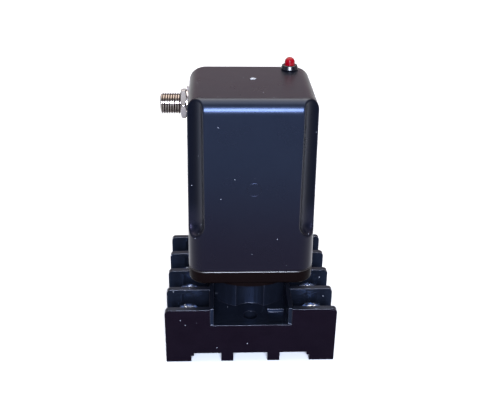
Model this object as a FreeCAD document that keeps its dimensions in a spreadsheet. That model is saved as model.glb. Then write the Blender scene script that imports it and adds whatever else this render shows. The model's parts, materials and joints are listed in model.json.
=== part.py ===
import FreeCAD, Part
import math
import os
import re

import Sketcher

# Plug-in pressure switch on an eight-terminal screw socket.
# Frame: +Z up, -Y is the front, the pressure port points along -X.
# The origin is the centre of the surface that the socket's feet stand on.

DIMENSIONS = (
    # socket moulding
    ("socket_width", 50.0), ("wall_pitch", 10.65), ("wall_thick", 1.8), ("wall_top", 18.3),
    ("wall_round", 1.3), ("under_z", 2.95), ("deck_z", 10.5), ("ledge_z", 12.9),
    ("notch_half", 12.1), ("rib_thick", 1.2), ("rib_setback", 0.5), ("turret_r", 13.0),
    ("turret_top", 22.9), ("hole_spacing", 34.0), ("hole_r", 2.1), ("head_r", 6.3),
    ("foot_inner_x", 17.6), ("foot_step", 0.8), ("small_foot_x", 6.9), ("small_foot_w", 3.6),
    ("small_foot_y", 2.8), ("relief_depth", 0.45), ("cavity_z", 4.45),
    ("recess_x", 16.4), ("recess_y", 19.3), ("boss_r", 3.6), ("fit_gap", 0.1),
    ("hollow_in_x", 5.2), ("hollow_out_x", 10.2), ("hollow_in_y", 14.2), ("hollow_out_y", 20.9),
    ("cavity_gap", 0.25),
    # contacts, clamp plates and screws
    ("pin_circle_r", 8.725), ("pin_r", 1.18), ("sleeve_r", 1.65), ("sleeve_bore", 1.22),
    ("sleeve_top", 20.5), ("strip_thick", 0.8), ("strip_half", 1.6), ("strip_turn", 33.7),
    ("neck_x", 13.0), ("neck_y", 14.5), ("tab_half", 2.6), ("tab_start", 14.0), ("tab_end", 22.6),
    ("screw_x", 18.4), ("screw_r", 1.45), ("screw_tip", 6.4), ("screw_head_r", 3.2),
    ("screw_seat", 12.4), ("screw_top", 14.9), ("clamp_half", 3.6), ("touch_gap", 0.05),
    ("dome_round", 0.8), ("driver_long", 2.1), ("driver_thin", 0.45), ("driver_deep", 1.3),
    # plug header and pins
    ("band_bottom", 24.4), ("band_top", 28.6), ("cover_half", 18.0), ("corner_r", 5.0),
    ("plug_disc_r", 17.0), ("plug_disc_z", 22.95), ("post_r", 3.95), ("post_tip", 9.5),
    ("key_reach", 5.1), ("key_half", 0.75), ("pin_tip", 11.6), ("pin_head", 31.0),
    ("header_floor", 26.4), ("spigot_half", 16.3), ("spigot_top", 31.6), ("spigot_wall", 1.5),
    # cover
    ("cover_bottom", 28.7), ("cover_top", 79.4), ("cover_wall", 1.6), ("cover_taper", 0.57),
    ("top_round", 3.6), ("flute_r", 4.3), ("flute_end", 43.4), ("flute_axis", 17.65),
    # indicator lamp
    ("lamp_x", 11.6), ("lamp_y", 11.6), ("lamp_r", 1.5), ("lamp_dome_z", 81.6),
    ("lamp_base", 75.8), ("bezel_r", 2.5), ("bezel_top", 80.9), ("bezel_neck", 2.0),
    ("lead_r", 0.25), ("lead_step", 1.27), ("lead_end_1", 8.6), ("lead_end_2", 11.1),
    ("gate_x", 0.6), ("gate_y", 2.7), ("gate_r", 0.8), ("gate_high", 0.12),
    # pressure port
    ("port_y", 8.0), ("port_z", 70.3), ("port_tip", -25.85), ("thread_r", 3.175),
    ("thread_end", -20.1), ("shank_r", 2.95),
    ("nut_out", -20.0), ("nut_in", -18.3), ("nut_flats", 8.0), ("nut_turn", 20.0),
    ("nut_chamfer", 0.6), ("wall_face", -17.6), ("washer_r", 4.9), ("washer_thick", 0.5),
    ("tooth_gap", 0.7), ("tooth_deep", 0.9), ("seal_thick", 0.6),
    ("seal_r", 3.85), ("flange_flats", 7.6), ("flange_thick", 2.2), ("barb_r", 1.5),
    ("barb_end", -6.5), ("port_bore", 1.0), ("tube_r", 2.1),
    # pressure capsule and pusher
    ("capsule_x", -1.5), ("capsule_y", -2.0), ("capsule_r", 11.0), ("rim_z", 50.0),
    ("film_z", 52.5), ("film_thick", 0.5), ("capsule_top_z", 56.5), ("nipple_top", 64.0),
    ("boss_outer", 5.2), ("spring_room", 4.1), ("boss_z", 44.0), ("floor_z", 45.0),
    ("bolt_circle", 9.65), ("bolt_r", 0.8), ("stem_r", 1.0), ("stem_tip", 42.0), ("step_z", 49.9),
    ("fold_in", 6.2), ("fold_mid", 6.7), ("fold_out", 7.2), ("fold_deep", 0.25),
    ("plate_r", 4.6), ("plate_z", 51.2), ("wire_r", 0.25), ("coil_r", 2.9), ("coil_pitch", 1.35),
    # snap switch
    ("case_left", -7.9), ("case_right", 4.9), ("case_half", 2.9), ("case_bottom", 33.0),
    ("case_top", 39.5), ("hinge_x", -7.0), ("hinge_z", 41.0), ("lever_top", 41.9),
    ("lever_thick", 0.3), ("lever_end", 3.2), ("lever_half", 1.7), ("button_x", -3.5),
    ("button_r", 0.7), ("hinge_pin_r", 0.4), ("sheet_thick", 1.0), ("ear_wide", 0.9),
    ("case_bolt_x1", -4.75), ("case_bolt_x2", 1.75), ("case_bolt_z", 35.0), ("case_bolt_r", 0.8),
    ("sheet_left", -6.4), ("sheet_right", 4.4), ("foot_back", 6.1), ("foot_bolt_y", 4.3),
    ("foot_bolt_x1", -4.2), ("foot_bolt_x2", 1.6), ("foot_bolt_r", 0.95),
    ("tab_x1", -6.5), ("tab_x2", -1.5), ("tab_x3", 3.5), ("tab_thin", 0.5), ("tab_wide", 2.4),
    ("tab_long", 3.2),
    # circuit board
    ("board_y", 12.6), ("board_thick", 1.6), ("board_low", 34.0), ("board_high", 66.0),
    ("board_left", -9.0), ("board_right", 12.2), ("pad_x", 2.0), ("pad_low", 47.0),
    ("pad_high", 57.0), ("resistor_r", 1.15), ("resistor_half", 3.0), ("leg_r", 0.3),
    ("tap_x", 4.0), ("tap_z", 37.0), ("wire_out_r", 0.45), ("wire_turn_z", 34.2),
)
DEPTH_HALF = "(2 * wall_pitch + wall_thick / 2)"
WIDTH_HALF = "(socket_width / 2)"
NEAR_PIN = ("pin_circle_r * cos(22.5)", "pin_circle_r * sin(22.5)")
FAR_PIN = ("pin_circle_r * sin(22.5)", "pin_circle_r * cos(22.5)")
QUADRANTS = ((1, -1), (1, 1), (-1, 1), (-1, -1))
WASHER_TEETH = 10

doc = FreeCAD.newDocument("pressure_switch")
dim = doc.addObject("Spreadsheet::Sheet", "dim")
for row, (alias, number) in enumerate(DIMENSIONS, start=1):
    dim.set(f"A{row}", alias)
    dim.set(f"B{row}", str(number))
    dim.setAlias(f"B{row}", alias)
doc.recompute()
nodes = []


# ---- small helpers: every size they take is text, a formula over the sheet's aliases ----

def formula(text):
    """The text with each alias (a word with an underscore) pointed at the sheet."""
    return re.sub(r"\b([a-z]+(?:_[a-z0-9]+)+)\b", r"dim.\1", str(text))


def value(text):
    """What a formula comes to now."""
    return float(dim.evalExpression(formula(text)))


def bind(piece, **texts):
    for name, text in texts.items():
        piece.setExpression(name, formula(text))
    return piece


def place(piece, x, y, z):
    for axis, text in zip("xyz", (x, y, z)):
        piece.setExpression(f"Placement.Base.{axis}", formula(text))
    return piece


def box(name, x, y, z):
    """A block between the (low, high) pairs x, y and z."""
    piece = doc.addObject("Part::Box", name)
    sides = {"Length": x, "Width": y, "Height": z}
    bind(piece, **{side: f"({high}) - ({low})" for side, (low, high) in sides.items()})
    return place(piece, x[0], y[0], z[0])


def along(piece, axis, centre, low):
    """Turn a piece made along Z onto an axis, and start it at low; centre gives the other two."""
    turn = {"x": FreeCAD.Rotation(FreeCAD.Vector(0, 1, 0), 90),
            "y": FreeCAD.Rotation(FreeCAD.Vector(1, 0, 0), -90),
            "z": FreeCAD.Rotation()}[axis]
    piece.Placement = FreeCAD.Placement(FreeCAD.Vector(), turn)
    spot = list(centre)
    spot.insert("xyz".index(axis), low)
    return place(piece, *spot)


def rod(name, radius, centre, span, axis="z"):
    piece = doc.addObject("Part::Cylinder", name)
    bind(piece, Radius=radius, Height=f"({span[1]}) - ({span[0]})")
    return along(piece, axis, centre, span[0])


def cone(name, radii, centre, span, axis="z"):
    piece = doc.addObject("Part::Cone", name)
    bind(piece, Radius1=radii[0], Radius2=radii[1], Height=f"({span[1]}) - ({span[0]})")
    return along(piece, axis, centre, span[0])


def ball(name, radius, centre):
    piece = doc.addObject("Part::Sphere", name)
    bind(piece, Radius=radius)
    return place(piece, *centre)


def fuse(name, *pieces):
    piece = doc.addObject("Part::MultiFuse", name)
    piece.Shapes = list(pieces)
    piece.Refine = True
    return piece


def cut(name, base, *tools):
    piece = doc.addObject("Part::Cut", name)
    piece.Base = base
    piece.Tool = tools[0] if len(tools) == 1 else fuse(name + "_tools", *tools)
    piece.Refine = True
    return piece


def common(name, first, second):
    piece = doc.addObject("Part::Common", name)
    piece.Base = first
    piece.Tool = second
    return piece


def fillet(name, base, radius, wanted):
    """Round the edges that the wanted test picks."""
    doc.recompute()
    piece = doc.addObject("Part::Fillet", name)
    piece.Base = base
    size = value(radius)
    piece.Edges = [(n, size, size) for n, edge in enumerate(base.Shape.Edges, 1) if wanted(edge)]
    return piece


def origin_plane(body, role):
    return next(f for f in body.Origin.OriginFeatures if f.Role == role)


def new_sketch(body, name, role, offset="0"):
    sketch = body.newObject("Sketcher::SketchObject", name)
    sketch.AttachmentSupport = (origin_plane(body, role), [""])
    sketch.MapMode = "FlatFace"
    sketch.setExpression("AttachmentOffset.Base.z", formula(offset))
    return sketch


def draw_outline(sketch, corners):
    """A closed outline of straight lines whose corners are bound to the sheet."""
    points = [FreeCAD.Vector(value(x), value(y), 0) for x, y in corners]
    count = len(points)
    for n in range(count):
        sketch.addGeometry(Part.LineSegment(points[n], points[(n + 1) % count]), False)
    for n in range(count):
        sketch.addConstraint(Sketcher.Constraint("Coincident", n, 2, (n + 1) % count, 1))
        for kind, number, text in (("DistanceX", points[n].x, corners[n][0]),
                                   ("DistanceY", points[n].y, corners[n][1])):
            index = sketch.addConstraint(Sketcher.Constraint(kind, -1, 1, n, 1, number))
            sketch.setExpression(f"Constraints[{index}]", formula(text))


def plate(name, corners, low, high, taper=None):
    """A flat body with the given outline between two heights."""
    body = doc.addObject("PartDesign::Body", name)
    sketch = new_sketch(body, name + "_outline", "XY_Plane", low)
    draw_outline(sketch, corners)
    pad = body.newObject("PartDesign::Pad", name + "_pad")
    pad.Profile = sketch
    bind(pad, Length=f"({high}) - ({low})")
    if taper:
        bind(pad, TaperAngle=f"-{taper}")
    return body


def turned(name, profile, centre):
    """A body of revolution about Z through centre; profile is (radius, height) corners."""
    body = doc.addObject("PartDesign::Body", name)
    sketch = new_sketch(body, name + "_profile", "XZ_Plane")
    draw_outline(sketch, profile)
    spin = body.newObject("PartDesign::Revolution", name + "_turn")
    spin.Profile = sketch
    spin.ReferenceAxis = (sketch, ["V_Axis"])
    spin.Angle = 360
    return place(body, centre[0], centre[1], "0")


def soften(body, name, radius, wanted):
    """Add a PartDesign fillet to the body's edges that the wanted test picks."""
    doc.recompute()
    step = body.newObject("PartDesign::Fillet", name)
    base = body.Tip if body.Tip is not step else step.BaseFeature
    names = [f"Edge{n}" for n, edge in enumerate(base.Shape.Edges, 1) if wanted(edge)]
    step.Base = (base, names)
    bind(step, Radius=radius)
    body.Tip = step
    return body


def upright(edge):
    return abs(edge.BoundBox.ZLength) > 1 and edge.BoundBox.XLength < 1 and edge.BoundBox.YLength < 1


def level_at(height):
    """A test for edges that lie flat at one height."""
    return lambda edge: abs(edge.BoundBox.ZMin - height) < 1e-4 and edge.BoundBox.ZLength < 1e-4


def block(name, half, corner, low, high, taper=None):
    """A square block with rounded upright edges, leaning inwards by taper degrees."""
    corners = [(f"{sx} * ({half})", f"{sy} * ({half})") for sx, sy in QUADRANTS]
    body = plate(name, corners, low, high, taper)
    return soften(body, name + "_corners", corner, upright)


def hexagon(name, flats, centre, span, turn):
    """A hexagonal bar along X."""
    piece = doc.addObject("Part::Prism", name)
    piece.Polygon = 6
    bind(piece, Circumradius=f"({flats}) / 2 / cos(30)", Height=f"({span[1]}) - ({span[0]})")
    along(piece, "x", centre, span[0])
    spin = FreeCAD.Rotation(FreeCAD.Vector(0, 0, 1), value(turn))
    piece.Placement.Rotation = piece.Placement.Rotation.multiply(spin)
    return piece


def route_tube(name, points, radius, bend, bore=None):
    """A tube along straight runs joined by arcs that touch both runs."""
    corners = [FreeCAD.Vector(*(value(text) for text in point)) for point in points]
    edges = []
    start = corners[0]
    for before, corner, after in zip(corners, corners[1:], corners[2:]):
        to_before = (before - corner).normalize()
        to_after = (after - corner).normalize()
        half_angle = to_before.getAngle(to_after) / 2
        reach = bend / math.tan(half_angle)
        middle = (to_before + to_after).normalize()
        top = corner + middle * (bend / math.sin(half_angle) - bend)
        edges.append(Part.LineSegment(start, corner + to_before * reach).toShape())
        edges.append(Part.Arc(corner + to_before * reach, top, corner + to_after * reach).toShape())
        start = corner + to_after * reach
    edges.append(Part.LineSegment(start, corners[-1]).toShape())
    path = Part.Wire(edges)
    heading = corners[1] - corners[0]

    def sweep(size):
        ring = Part.Wire(Part.makeCircle(value(size), corners[0], heading))
        return path.makePipeShell([ring], True, True)

    piece = doc.addObject("Part::Feature", name)
    piece.Shape = sweep(radius).cut(sweep(bore)) if bore else sweep(radius)
    return piece


def keep(piece):
    """Count a finished piece as one of the object's own."""
    piece.Label = piece.Name
    nodes.append(piece)
    return piece


def mirrored(corners, sx, sy):
    return [(f"{sx} * ({x})", f"{sy} * ({y})") for x, y in corners]


def terminals():
    """Each terminal: its number, side signs, whether it is an end cell, and its row and pin."""
    number = 0
    for sx in (1, -1):
        for sy, is_end in ((-1, True), (-1, False), (1, False), (1, True)):
            number += 1
            row = f"{sy} * wall_pitch * {1.5 if is_end else 0.5}"
            pin = FAR_PIN if is_end else NEAR_PIN
            yield number, sx, sy, is_end, row, (f"{sx} * {pin[0]}", f"{sy} * {pin[1]}")


# ---- socket ----

def strip_corners(is_end, grow="0"):
    """Outline of a contact strip in the quadrant where X and Y are positive."""
    half = f"(strip_half + {grow})"
    if is_end:
        row = "wall_pitch * 1.5"
        side_x, side_y = f"{half} * sin(strip_turn)", f"{half} * cos(strip_turn)"
        throat = [(f"neck_x - {side_x}", f"neck_y + {side_y}"),
                  (f"{FAR_PIN[0]} - {side_x}", f"{FAR_PIN[1]} + {side_y}"),
                  (f"{FAR_PIN[0]} + {side_x}", f"{FAR_PIN[1]} - {side_y}"),
                  (f"neck_x + {side_x}", f"neck_y - {side_y}")]
    else:
        row = "wall_pitch * 0.5"
        throat = [(x, f"{NEAR_PIN[1]} {sign} {half}")
                  for x, sign in (("neck_x", "+"), (NEAR_PIN[0], "+"), (NEAR_PIN[0], "-"), ("neck_x", "-"))]
    if grow != "0":
        return throat
    tab = [("tab_end", f"{row} - tab_half"), ("tab_end", f"{row} + tab_half"),
           ("tab_start", f"{row} + tab_half")]
    return tab + throat + [("tab_start", f"{row} - tab_half")]


def socket_solids():
    """The socket moulding before its holes and cavities are taken out."""
    front, back = f"-{DEPTH_HALF}", DEPTH_HALF
    deck = box("deck", (f"-{WIDTH_HALF}", WIDTH_HALF), (front, back), ("under_z", "deck_z"))
    ledge = box("ledge", ("-notch_half", "notch_half"), (front, back), ("deck_z", "ledge_z"))
    solids = [deck, ledge, rod("turret", "turret_r", ("0", "0"), ("deck_z", "turret_top"))]
    for side, sx in (("right", 1), ("left", -1)):
        inner, outer = sorted((f"{sx} * notch_half", f"{sx} * (notch_half - rib_thick)"), key=value)
        solids.append(box(f"{side}_rib", (inner, outer),
                          (f"{front} + rib_setback", f"{back} - rib_setback"), ("deck_z", "wall_top")))
        edge = sorted((f"{sx} * (notch_half - 0.2)", f"{sx} * {WIDTH_HALF}"), key=value)
        for row in range(5):
            middle = f"wall_pitch * {row - 2}"
            wall = box(f"{side}_wall_{row + 1}", edge,
                       (f"{middle} - wall_thick / 2", f"{middle} + wall_thick / 2"),
                       ("deck_z - 1", "wall_top"))
            outer_x, top_z = value(f"{sx} * {WIDTH_HALF}"), value("wall_top")
            solids.append(fillet(f"{side}_wall_{row + 1}_round", wall, "wall_round",
                                 lambda e: abs(e.CenterOfMass.x - outer_x) < 0.01
                                 and abs(e.CenterOfMass.z - top_z) < 0.01))
        foot = sorted((f"{sx} * foot_inner_x", f"{sx} * {WIDTH_HALF}"), key=value)
        solids.append(box(f"{side}_foot", foot, (front, back), ("0", "under_z")))
        root = sorted((f"{sx} * foot_inner_x", f"{sx} * (foot_inner_x - foot_step)"), key=value)
        solids.append(box(f"{side}_foot_root", root, (front, back), ("under_z - 1", "under_z")))
        for end, low, high in (("front", front, f"{front} + small_foot_y"),
                               ("back", f"{back} - small_foot_y", back)):
            middle = f"{sx} * small_foot_x"
            solids.append(box(f"{side}_{end}_small_foot",
                              (f"{middle} - small_foot_w / 2", f"{middle} + small_foot_w / 2"),
                              (low, high), ("0", "under_z")))
    return fuse("socket_solid", *solids)


def socket_cavities():
    """Everything taken out of the moulding: holes, head rooms, cavities for the contacts."""
    tools = []
    for end, sy in (("front", -1), ("back", 1)):
        spot = ("0", f"{sy} * hole_spacing / 2")
        tools.append(rod(f"{end}_mount_hole", "hole_r", spot, ("under_z - 1", "ledge_z + 1")))
        tools.append(rod(f"{end}_head_room", "head_r", spot, ("ledge_z", "turret_top + 1")))
        hollow_x = sorted((f"{-sy} * hollow_in_x", f"{-sy} * hollow_out_x"), key=value)
        hollow_y = sorted((f"{sy} * hollow_in_y", f"{sy} * hollow_out_y"), key=value)
        tools.append(box(f"{end}_ledge_hollow", hollow_x, hollow_y, ("ledge_z - 1", "ledge_z + 1")))
    recess = box("plate_recess_block", ("-recess_x", "recess_x"), ("-recess_y", "recess_y"),
                 ("under_z", "cavity_z"))
    bosses = [rod(f"{end}_boss", "boss_r", ("0", f"{sy} * hole_spacing / 2"), ("under_z", "cavity_z"))
              for end, sy in (("front", -1), ("back", 1))]
    tools.append(cut("plate_recess", recess, *bosses))
    tools.append(rod("key_hole", "post_r + fit_gap", ("0", "0"), ("post_tip - 1.5", "turret_top + 1")))
    tools.append(box("key_slot", ("-key_half - fit_gap", "key_half + fit_gap"),
                     ("-key_reach - fit_gap", "0"), ("post_tip - 1.5", "turret_top + 1")))
    for number, sx, sy, is_end, row, pin in terminals():
        tools.append(plate(f"strip_cavity_{number}", mirrored(strip_corners(is_end, "cavity_gap"), sx, sy),
                           "cavity_z - 0.1", "deck_z + strip_thick + 0.15"))
        tools.append(rod(f"sleeve_cavity_{number}", "sleeve_r + cavity_gap", pin,
                         ("cavity_z - 0.1", "sleeve_top + 1")))
        tools.append(rod(f"pin_hole_{number}", "pin_r + 0.17", pin, ("sleeve_top", "turret_top + 1")))
        spot = (f"{sx} * screw_x", row)
        tools.append(rod(f"screw_hole_{number}", "screw_r + 0.45", spot, ("screw_tip - 1", "deck_z + 1")))
        # shallow round relief in both walls of the cell, for the turning screw head
        tools.append(rod(f"wall_relief_{number}", "wall_pitch / 2 - wall_thick / 2 + relief_depth",
                         spot, ("deck_z", "screw_top + 2")))
    return tools


def build_socket():
    keep(cut("socket_body", socket_solids(), *socket_cavities()))
    panel = box("plate_blank", ("-recess_x + fit_gap", "recess_x - fit_gap"),
                ("-recess_y + fit_gap", "recess_y - fit_gap"), ("under_z", "cavity_z - fit_gap"))
    holes = [rod(f"plate_hole_{end}", "boss_r + fit_gap", ("0", f"{sy} * hole_spacing / 2"),
                 ("under_z - 1", "cavity_z + 1")) for end, sy in (("front", -1), ("back", 1))]
    keep(cut("bottom_plate", panel, *holes))


def build_terminal(number, sx, sy, is_end, row, pin):
    """One contact strip with its sleeve, the wire clamp plate and the screw that presses it."""
    strip_top = "deck_z + strip_thick"
    spot = (f"{sx} * screw_x", row)
    strip = plate(f"strip_{number}", mirrored(strip_corners(is_end), sx, sy), "deck_z", strip_top)
    sleeve = rod(f"sleeve_{number}", "sleeve_r", pin, ("deck_z", "sleeve_top"))
    bore = rod(f"sleeve_bore_{number}", "sleeve_bore", pin, ("deck_z - 1", "sleeve_top + 1"))
    thread = rod(f"strip_thread_{number}", "screw_r + 0.08", spot, ("deck_z - 1", f"{strip_top} + 1"))
    keep(cut(f"contact_{number}", fuse(f"contact_blank_{number}", strip, sleeve), bore, thread))

    x_span = (f"{spot[0]} - clamp_half", f"{spot[0]} + clamp_half")
    y_span = (f"{row} - clamp_half", f"{row} + clamp_half")
    pad = box(f"clamp_blank_{number}", x_span, y_span,
              (f"{strip_top} + touch_gap", "screw_seat - touch_gap"))
    eye = rod(f"clamp_eye_{number}", "screw_r + 0.15", spot, ("deck_z", "screw_top"))
    keep(cut(f"clamp_plate_{number}", pad, eye))

    shank = rod(f"shank_{number}", "screw_r", spot, ("screw_tip", "screw_seat"))
    head = rod(f"head_{number}", "screw_head_r", spot, ("screw_seat", "screw_top"))
    dome = fillet(f"dome_{number}", head, "dome_round", level_at(value("screw_top")))
    slots = [box(f"driver_slot_{number}_{way}",
                 (f"{spot[0]} - {half_x}", f"{spot[0]} + {half_x}"),
                 (f"{row} - {half_y}", f"{row} + {half_y}"), ("screw_top - driver_deep", "screw_top + 1"))
             for way, half_x, half_y in (("x", "driver_long", "driver_thin"),
                                         ("y", "driver_thin", "driver_long"))]
    keep(cut(f"terminal_screw_{number}", fuse(f"screw_blank_{number}", shank, dome), *slots))


# ---- plug-in module ----

def build_header():
    """The module's bottom: outer band, keyed centre post and eight plug pins."""
    band = block("band", "cover_half - 0.05", "corner_r", "band_bottom", "band_top")
    soften(band, "band_round", "1.0", level_at(value("band_bottom")))
    spigot = block("spigot", "spigot_half", "corner_r - cover_wall", "band_top - 1", "spigot_top")
    disc = rod("plug_disc", "plug_disc_r", ("0", "0"), ("plug_disc_z", "band_bottom + 1"))
    post = rod("key_post", "post_r", ("0", "0"), ("post_tip + 1", "band_bottom"))
    nose = cone("key_post_nose", ("post_r - 0.8", "post_r"), ("0", "0"), ("post_tip", "post_tip + 1"))
    rib = box("key_rib", ("-key_half", "key_half"), ("-key_reach", "0"), ("post_tip + 1", "band_bottom"))
    room = block("header_room", "spigot_half - spigot_wall", "corner_r - cover_wall - spigot_wall",
                 "header_floor", "spigot_top + 1")
    holes = [rod(f"header_pin_hole_{number}", "pin_r + 0.02", pin, ("plug_disc_z - 1", "spigot_top"))
             for number, _, _, _, _, pin in terminals()]
    screw_holes = [rod(f"header_screw_hole_{n}", "foot_bolt_r + 0.05", (x, "foot_bolt_y"),
                       ("header_floor - 2.4", "spigot_top"))
                   for n, x in enumerate(("foot_bolt_x1", "foot_bolt_x2"), 1)]
    solid = fuse("header_solid", band, spigot, disc, post, nose, rib)
    keep(cut("plug_header", solid, room, *holes, *screw_holes))
    pins = []
    for number, _, _, _, _, pin in terminals():
        shank = rod(f"pin_shank_{number}", "pin_r", pin, ("pin_tip + 0.8", "pin_head"))
        tip = cone(f"pin_point_{number}", ("pin_r - 0.6", "pin_r"), pin, ("pin_tip", "pin_tip + 0.8"))
        pins.extend((shank, tip))
    keep(fuse("plug_pins", *pins))


def flute_set(name, radius):
    """Four upright round grooves on the corner edges, each ending in a ball."""
    pieces = []
    for number, (sx, sy) in enumerate(QUADRANTS, 1):
        spot = (f"{sx} * flute_axis", f"{sy} * flute_axis")
        pieces.append(rod(f"{name}_{number}", radius, spot, ("flute_end", "cover_top + 1")))
        pieces.append(ball(f"{name}_end_{number}", radius, (*spot, "flute_end")))
    return fuse(name, *pieces)


def build_cover():
    outer = block("cover_block", "cover_half", "corner_r", "cover_bottom", "cover_top", "cover_taper")
    soften(outer, "cover_round", "top_round", level_at(value("cover_top")))
    gate = cone("gate_mark", ("gate_r", "gate_r - 0.3"), ("gate_x", "gate_y"),
                ("cover_top - 0.2", "cover_top + gate_high"))
    inner = block("cover_hollow", "cover_half - cover_wall", "corner_r - cover_wall",
                  "cover_bottom - 0.001", "cover_top - cover_wall - 0.2", "cover_taper")
    hollow = cut("cover_room", inner, flute_set("flute_backs", "flute_r + cover_wall - 0.2"))
    lamp_hole = rod("lamp_hole", "bezel_neck + 0.05", ("lamp_x", "lamp_y"),
                    ("cover_top - 4", "cover_top + 1"))
    port_hole = rod("port_hole", "thread_r + 0.075", ("port_y", "port_z"), ("wall_face - 2", "-14"), "x")
    shell = cut("cover_shell", fuse("cover_solid", outer, gate), hollow, flute_set("flutes", "flute_r"))
    keep(cut("cover", shell, lamp_hole, port_hole))


def build_lamp():
    spot = ("lamp_x", "lamp_y")
    stem = rod("lamp_stem", "lamp_r", spot, ("lamp_base", "lamp_dome_z"))
    dome = ball("lamp_dome", "lamp_r", (*spot, "lamp_dome_z"))
    rim = rod("lamp_rim", "lamp_r + 0.4", spot, ("lamp_base - 1", "lamp_base"))
    keep(fuse("lamp", stem, dome, rim))
    flange = cone("bezel_flange", ("bezel_r", "bezel_r - 0.5"), spot, ("cover_top + 0.02", "bezel_top"))
    neck = rod("bezel_neck_tube", "bezel_neck", spot, ("lamp_base + 0.3", "cover_top + 0.02"))
    bore = rod("bezel_bore", "lamp_r + 0.05", spot, ("lamp_base", "bezel_top + 1"))
    keep(cut("lamp_bezel", fuse("bezel_blank", flange, neck), bore))
    ring_top = "cover_top - cover_wall - 0.25"
    ring = rod("ring_blank", "bezel_neck + 0.42", spot, (f"{ring_top} - 1.2", ring_top))
    hole = rod("ring_hole", "bezel_neck + 0.02", spot, (f"{ring_top} - 2", f"{ring_top} + 1"))
    keep(cut("lamp_ring", ring, hole))
    leads = []
    for number, lead_x, end_x in ((1, "lamp_x - lead_step", "lead_end_1"),
                                  (2, "lamp_x + lead_step", "lead_end_2")):
        route = [(lead_x, "lamp_y", "lamp_base - 1.02"), (lead_x, "lamp_y", "board_high + 4"),
                 (end_x, "board_y - 0.3", "board_high + 0.5"), (end_x, "board_y - 0.3", "board_high - 4")]
        leads.append(route_tube(f"lamp_lead_{number}", route, "lead_r", 0.8))
    keep(fuse("lamp_leads", *leads))


def build_port():
    spot = ("port_y", "port_z")
    seal_out = "wall_face + cover_wall + 0.07"
    seal_in = f"{seal_out} + seal_thick"
    flange_in = f"{seal_in} + flange_thick"
    lead_in = cone("thread_lead_in", ("thread_r - 0.5", "thread_r"), spot,
                   ("port_tip", "port_tip + 0.5"), "x")
    thread = rod("thread", "thread_r", spot, ("port_tip + 0.5", "thread_end"), "x")
    shank = rod("port_shank", "shank_r", spot, ("thread_end", seal_in), "x")
    flange = hexagon("port_flange", "flange_flats", spot, (f"{seal_in} + 0.02", flange_in), "0")
    neck = rod("barb_neck", "barb_r - 0.3", spot, (seal_in, "barb_end"), "x")
    barbs = [cone(f"barb_{n}", ("barb_r", "barb_r - 0.35"), spot,
                  (f"barb_end - {start}", f"barb_end - {start - 1.4}"), "x")
             for n, start in enumerate((1.4, 3.0), 1)]
    bore = rod("port_bore_hole", "port_bore", spot, ("port_tip - 1", "barb_end + 1"), "x")
    keep(cut("port_fitting", fuse("fitting_blank", lead_in, thread, shank, flange, neck, *barbs), bore))

    bar = hexagon("nut_bar", "nut_flats", spot, ("nut_out", "nut_in"), "nut_turn")
    facing = [cone("nut_face_out", ("nut_flats / 2 - 0.1", "nut_flats / 2 + 0.9"), spot,
                   ("nut_out", "nut_out + nut_chamfer"), "x"),
              rod("nut_middle", "nut_flats / 2 + 0.9", spot,
                  ("nut_out + nut_chamfer", "nut_in - nut_chamfer"), "x"),
              cone("nut_face_in", ("nut_flats / 2 + 0.9", "nut_flats / 2 - 0.1"), spot,
                   ("nut_in - nut_chamfer", "nut_in"), "x")]
    nut = common("nut_faced", bar, fuse("nut_envelope", *facing))
    hole = rod("nut_thread", "shank_r + 0.03", spot, ("nut_out - 1", "nut_in + 1"), "x")
    keep(cut("port_nut", nut, hole))

    washer_span = ("nut_in + 0.03", "nut_in + 0.03 + washer_thick")
    washer = rod("washer_blank", "washer_r", spot, washer_span, "x")
    eye = rod("washer_eye", "thread_r + 0.1", spot, ("nut_in - 1", "wall_face + 1"), "x")
    gaps = []
    for tooth in range(WASHER_TEETH):
        turn = 360 / WASHER_TEETH * tooth
        notch = box(f"washer_gap_{tooth + 1}", ("nut_in - 1", "wall_face + 1"),
                    ("-tooth_gap / 2", "tooth_gap / 2"), ("washer_r - tooth_deep", "washer_r + 1"))
        notch.Placement.Rotation = FreeCAD.Rotation(FreeCAD.Vector(1, 0, 0), turn)
        place(notch, "nut_in - 1",
              f"port_y - tooth_gap / 2 * cos({turn}) - (washer_r - tooth_deep) * sin({turn})",
              f"port_z - tooth_gap / 2 * sin({turn}) + (washer_r - tooth_deep) * cos({turn})")
        gaps.append(notch)
    keep(cut("port_lock_washer", washer, eye, *gaps))

    gasket = rod("seal_blank", "seal_r", spot, (seal_out, seal_in), "x")
    seal_eye = rod("seal_eye", "thread_r + 0.05", spot, ("wall_face", "-10"), "x")
    keep(cut("port_seal", gasket, seal_eye))


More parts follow.
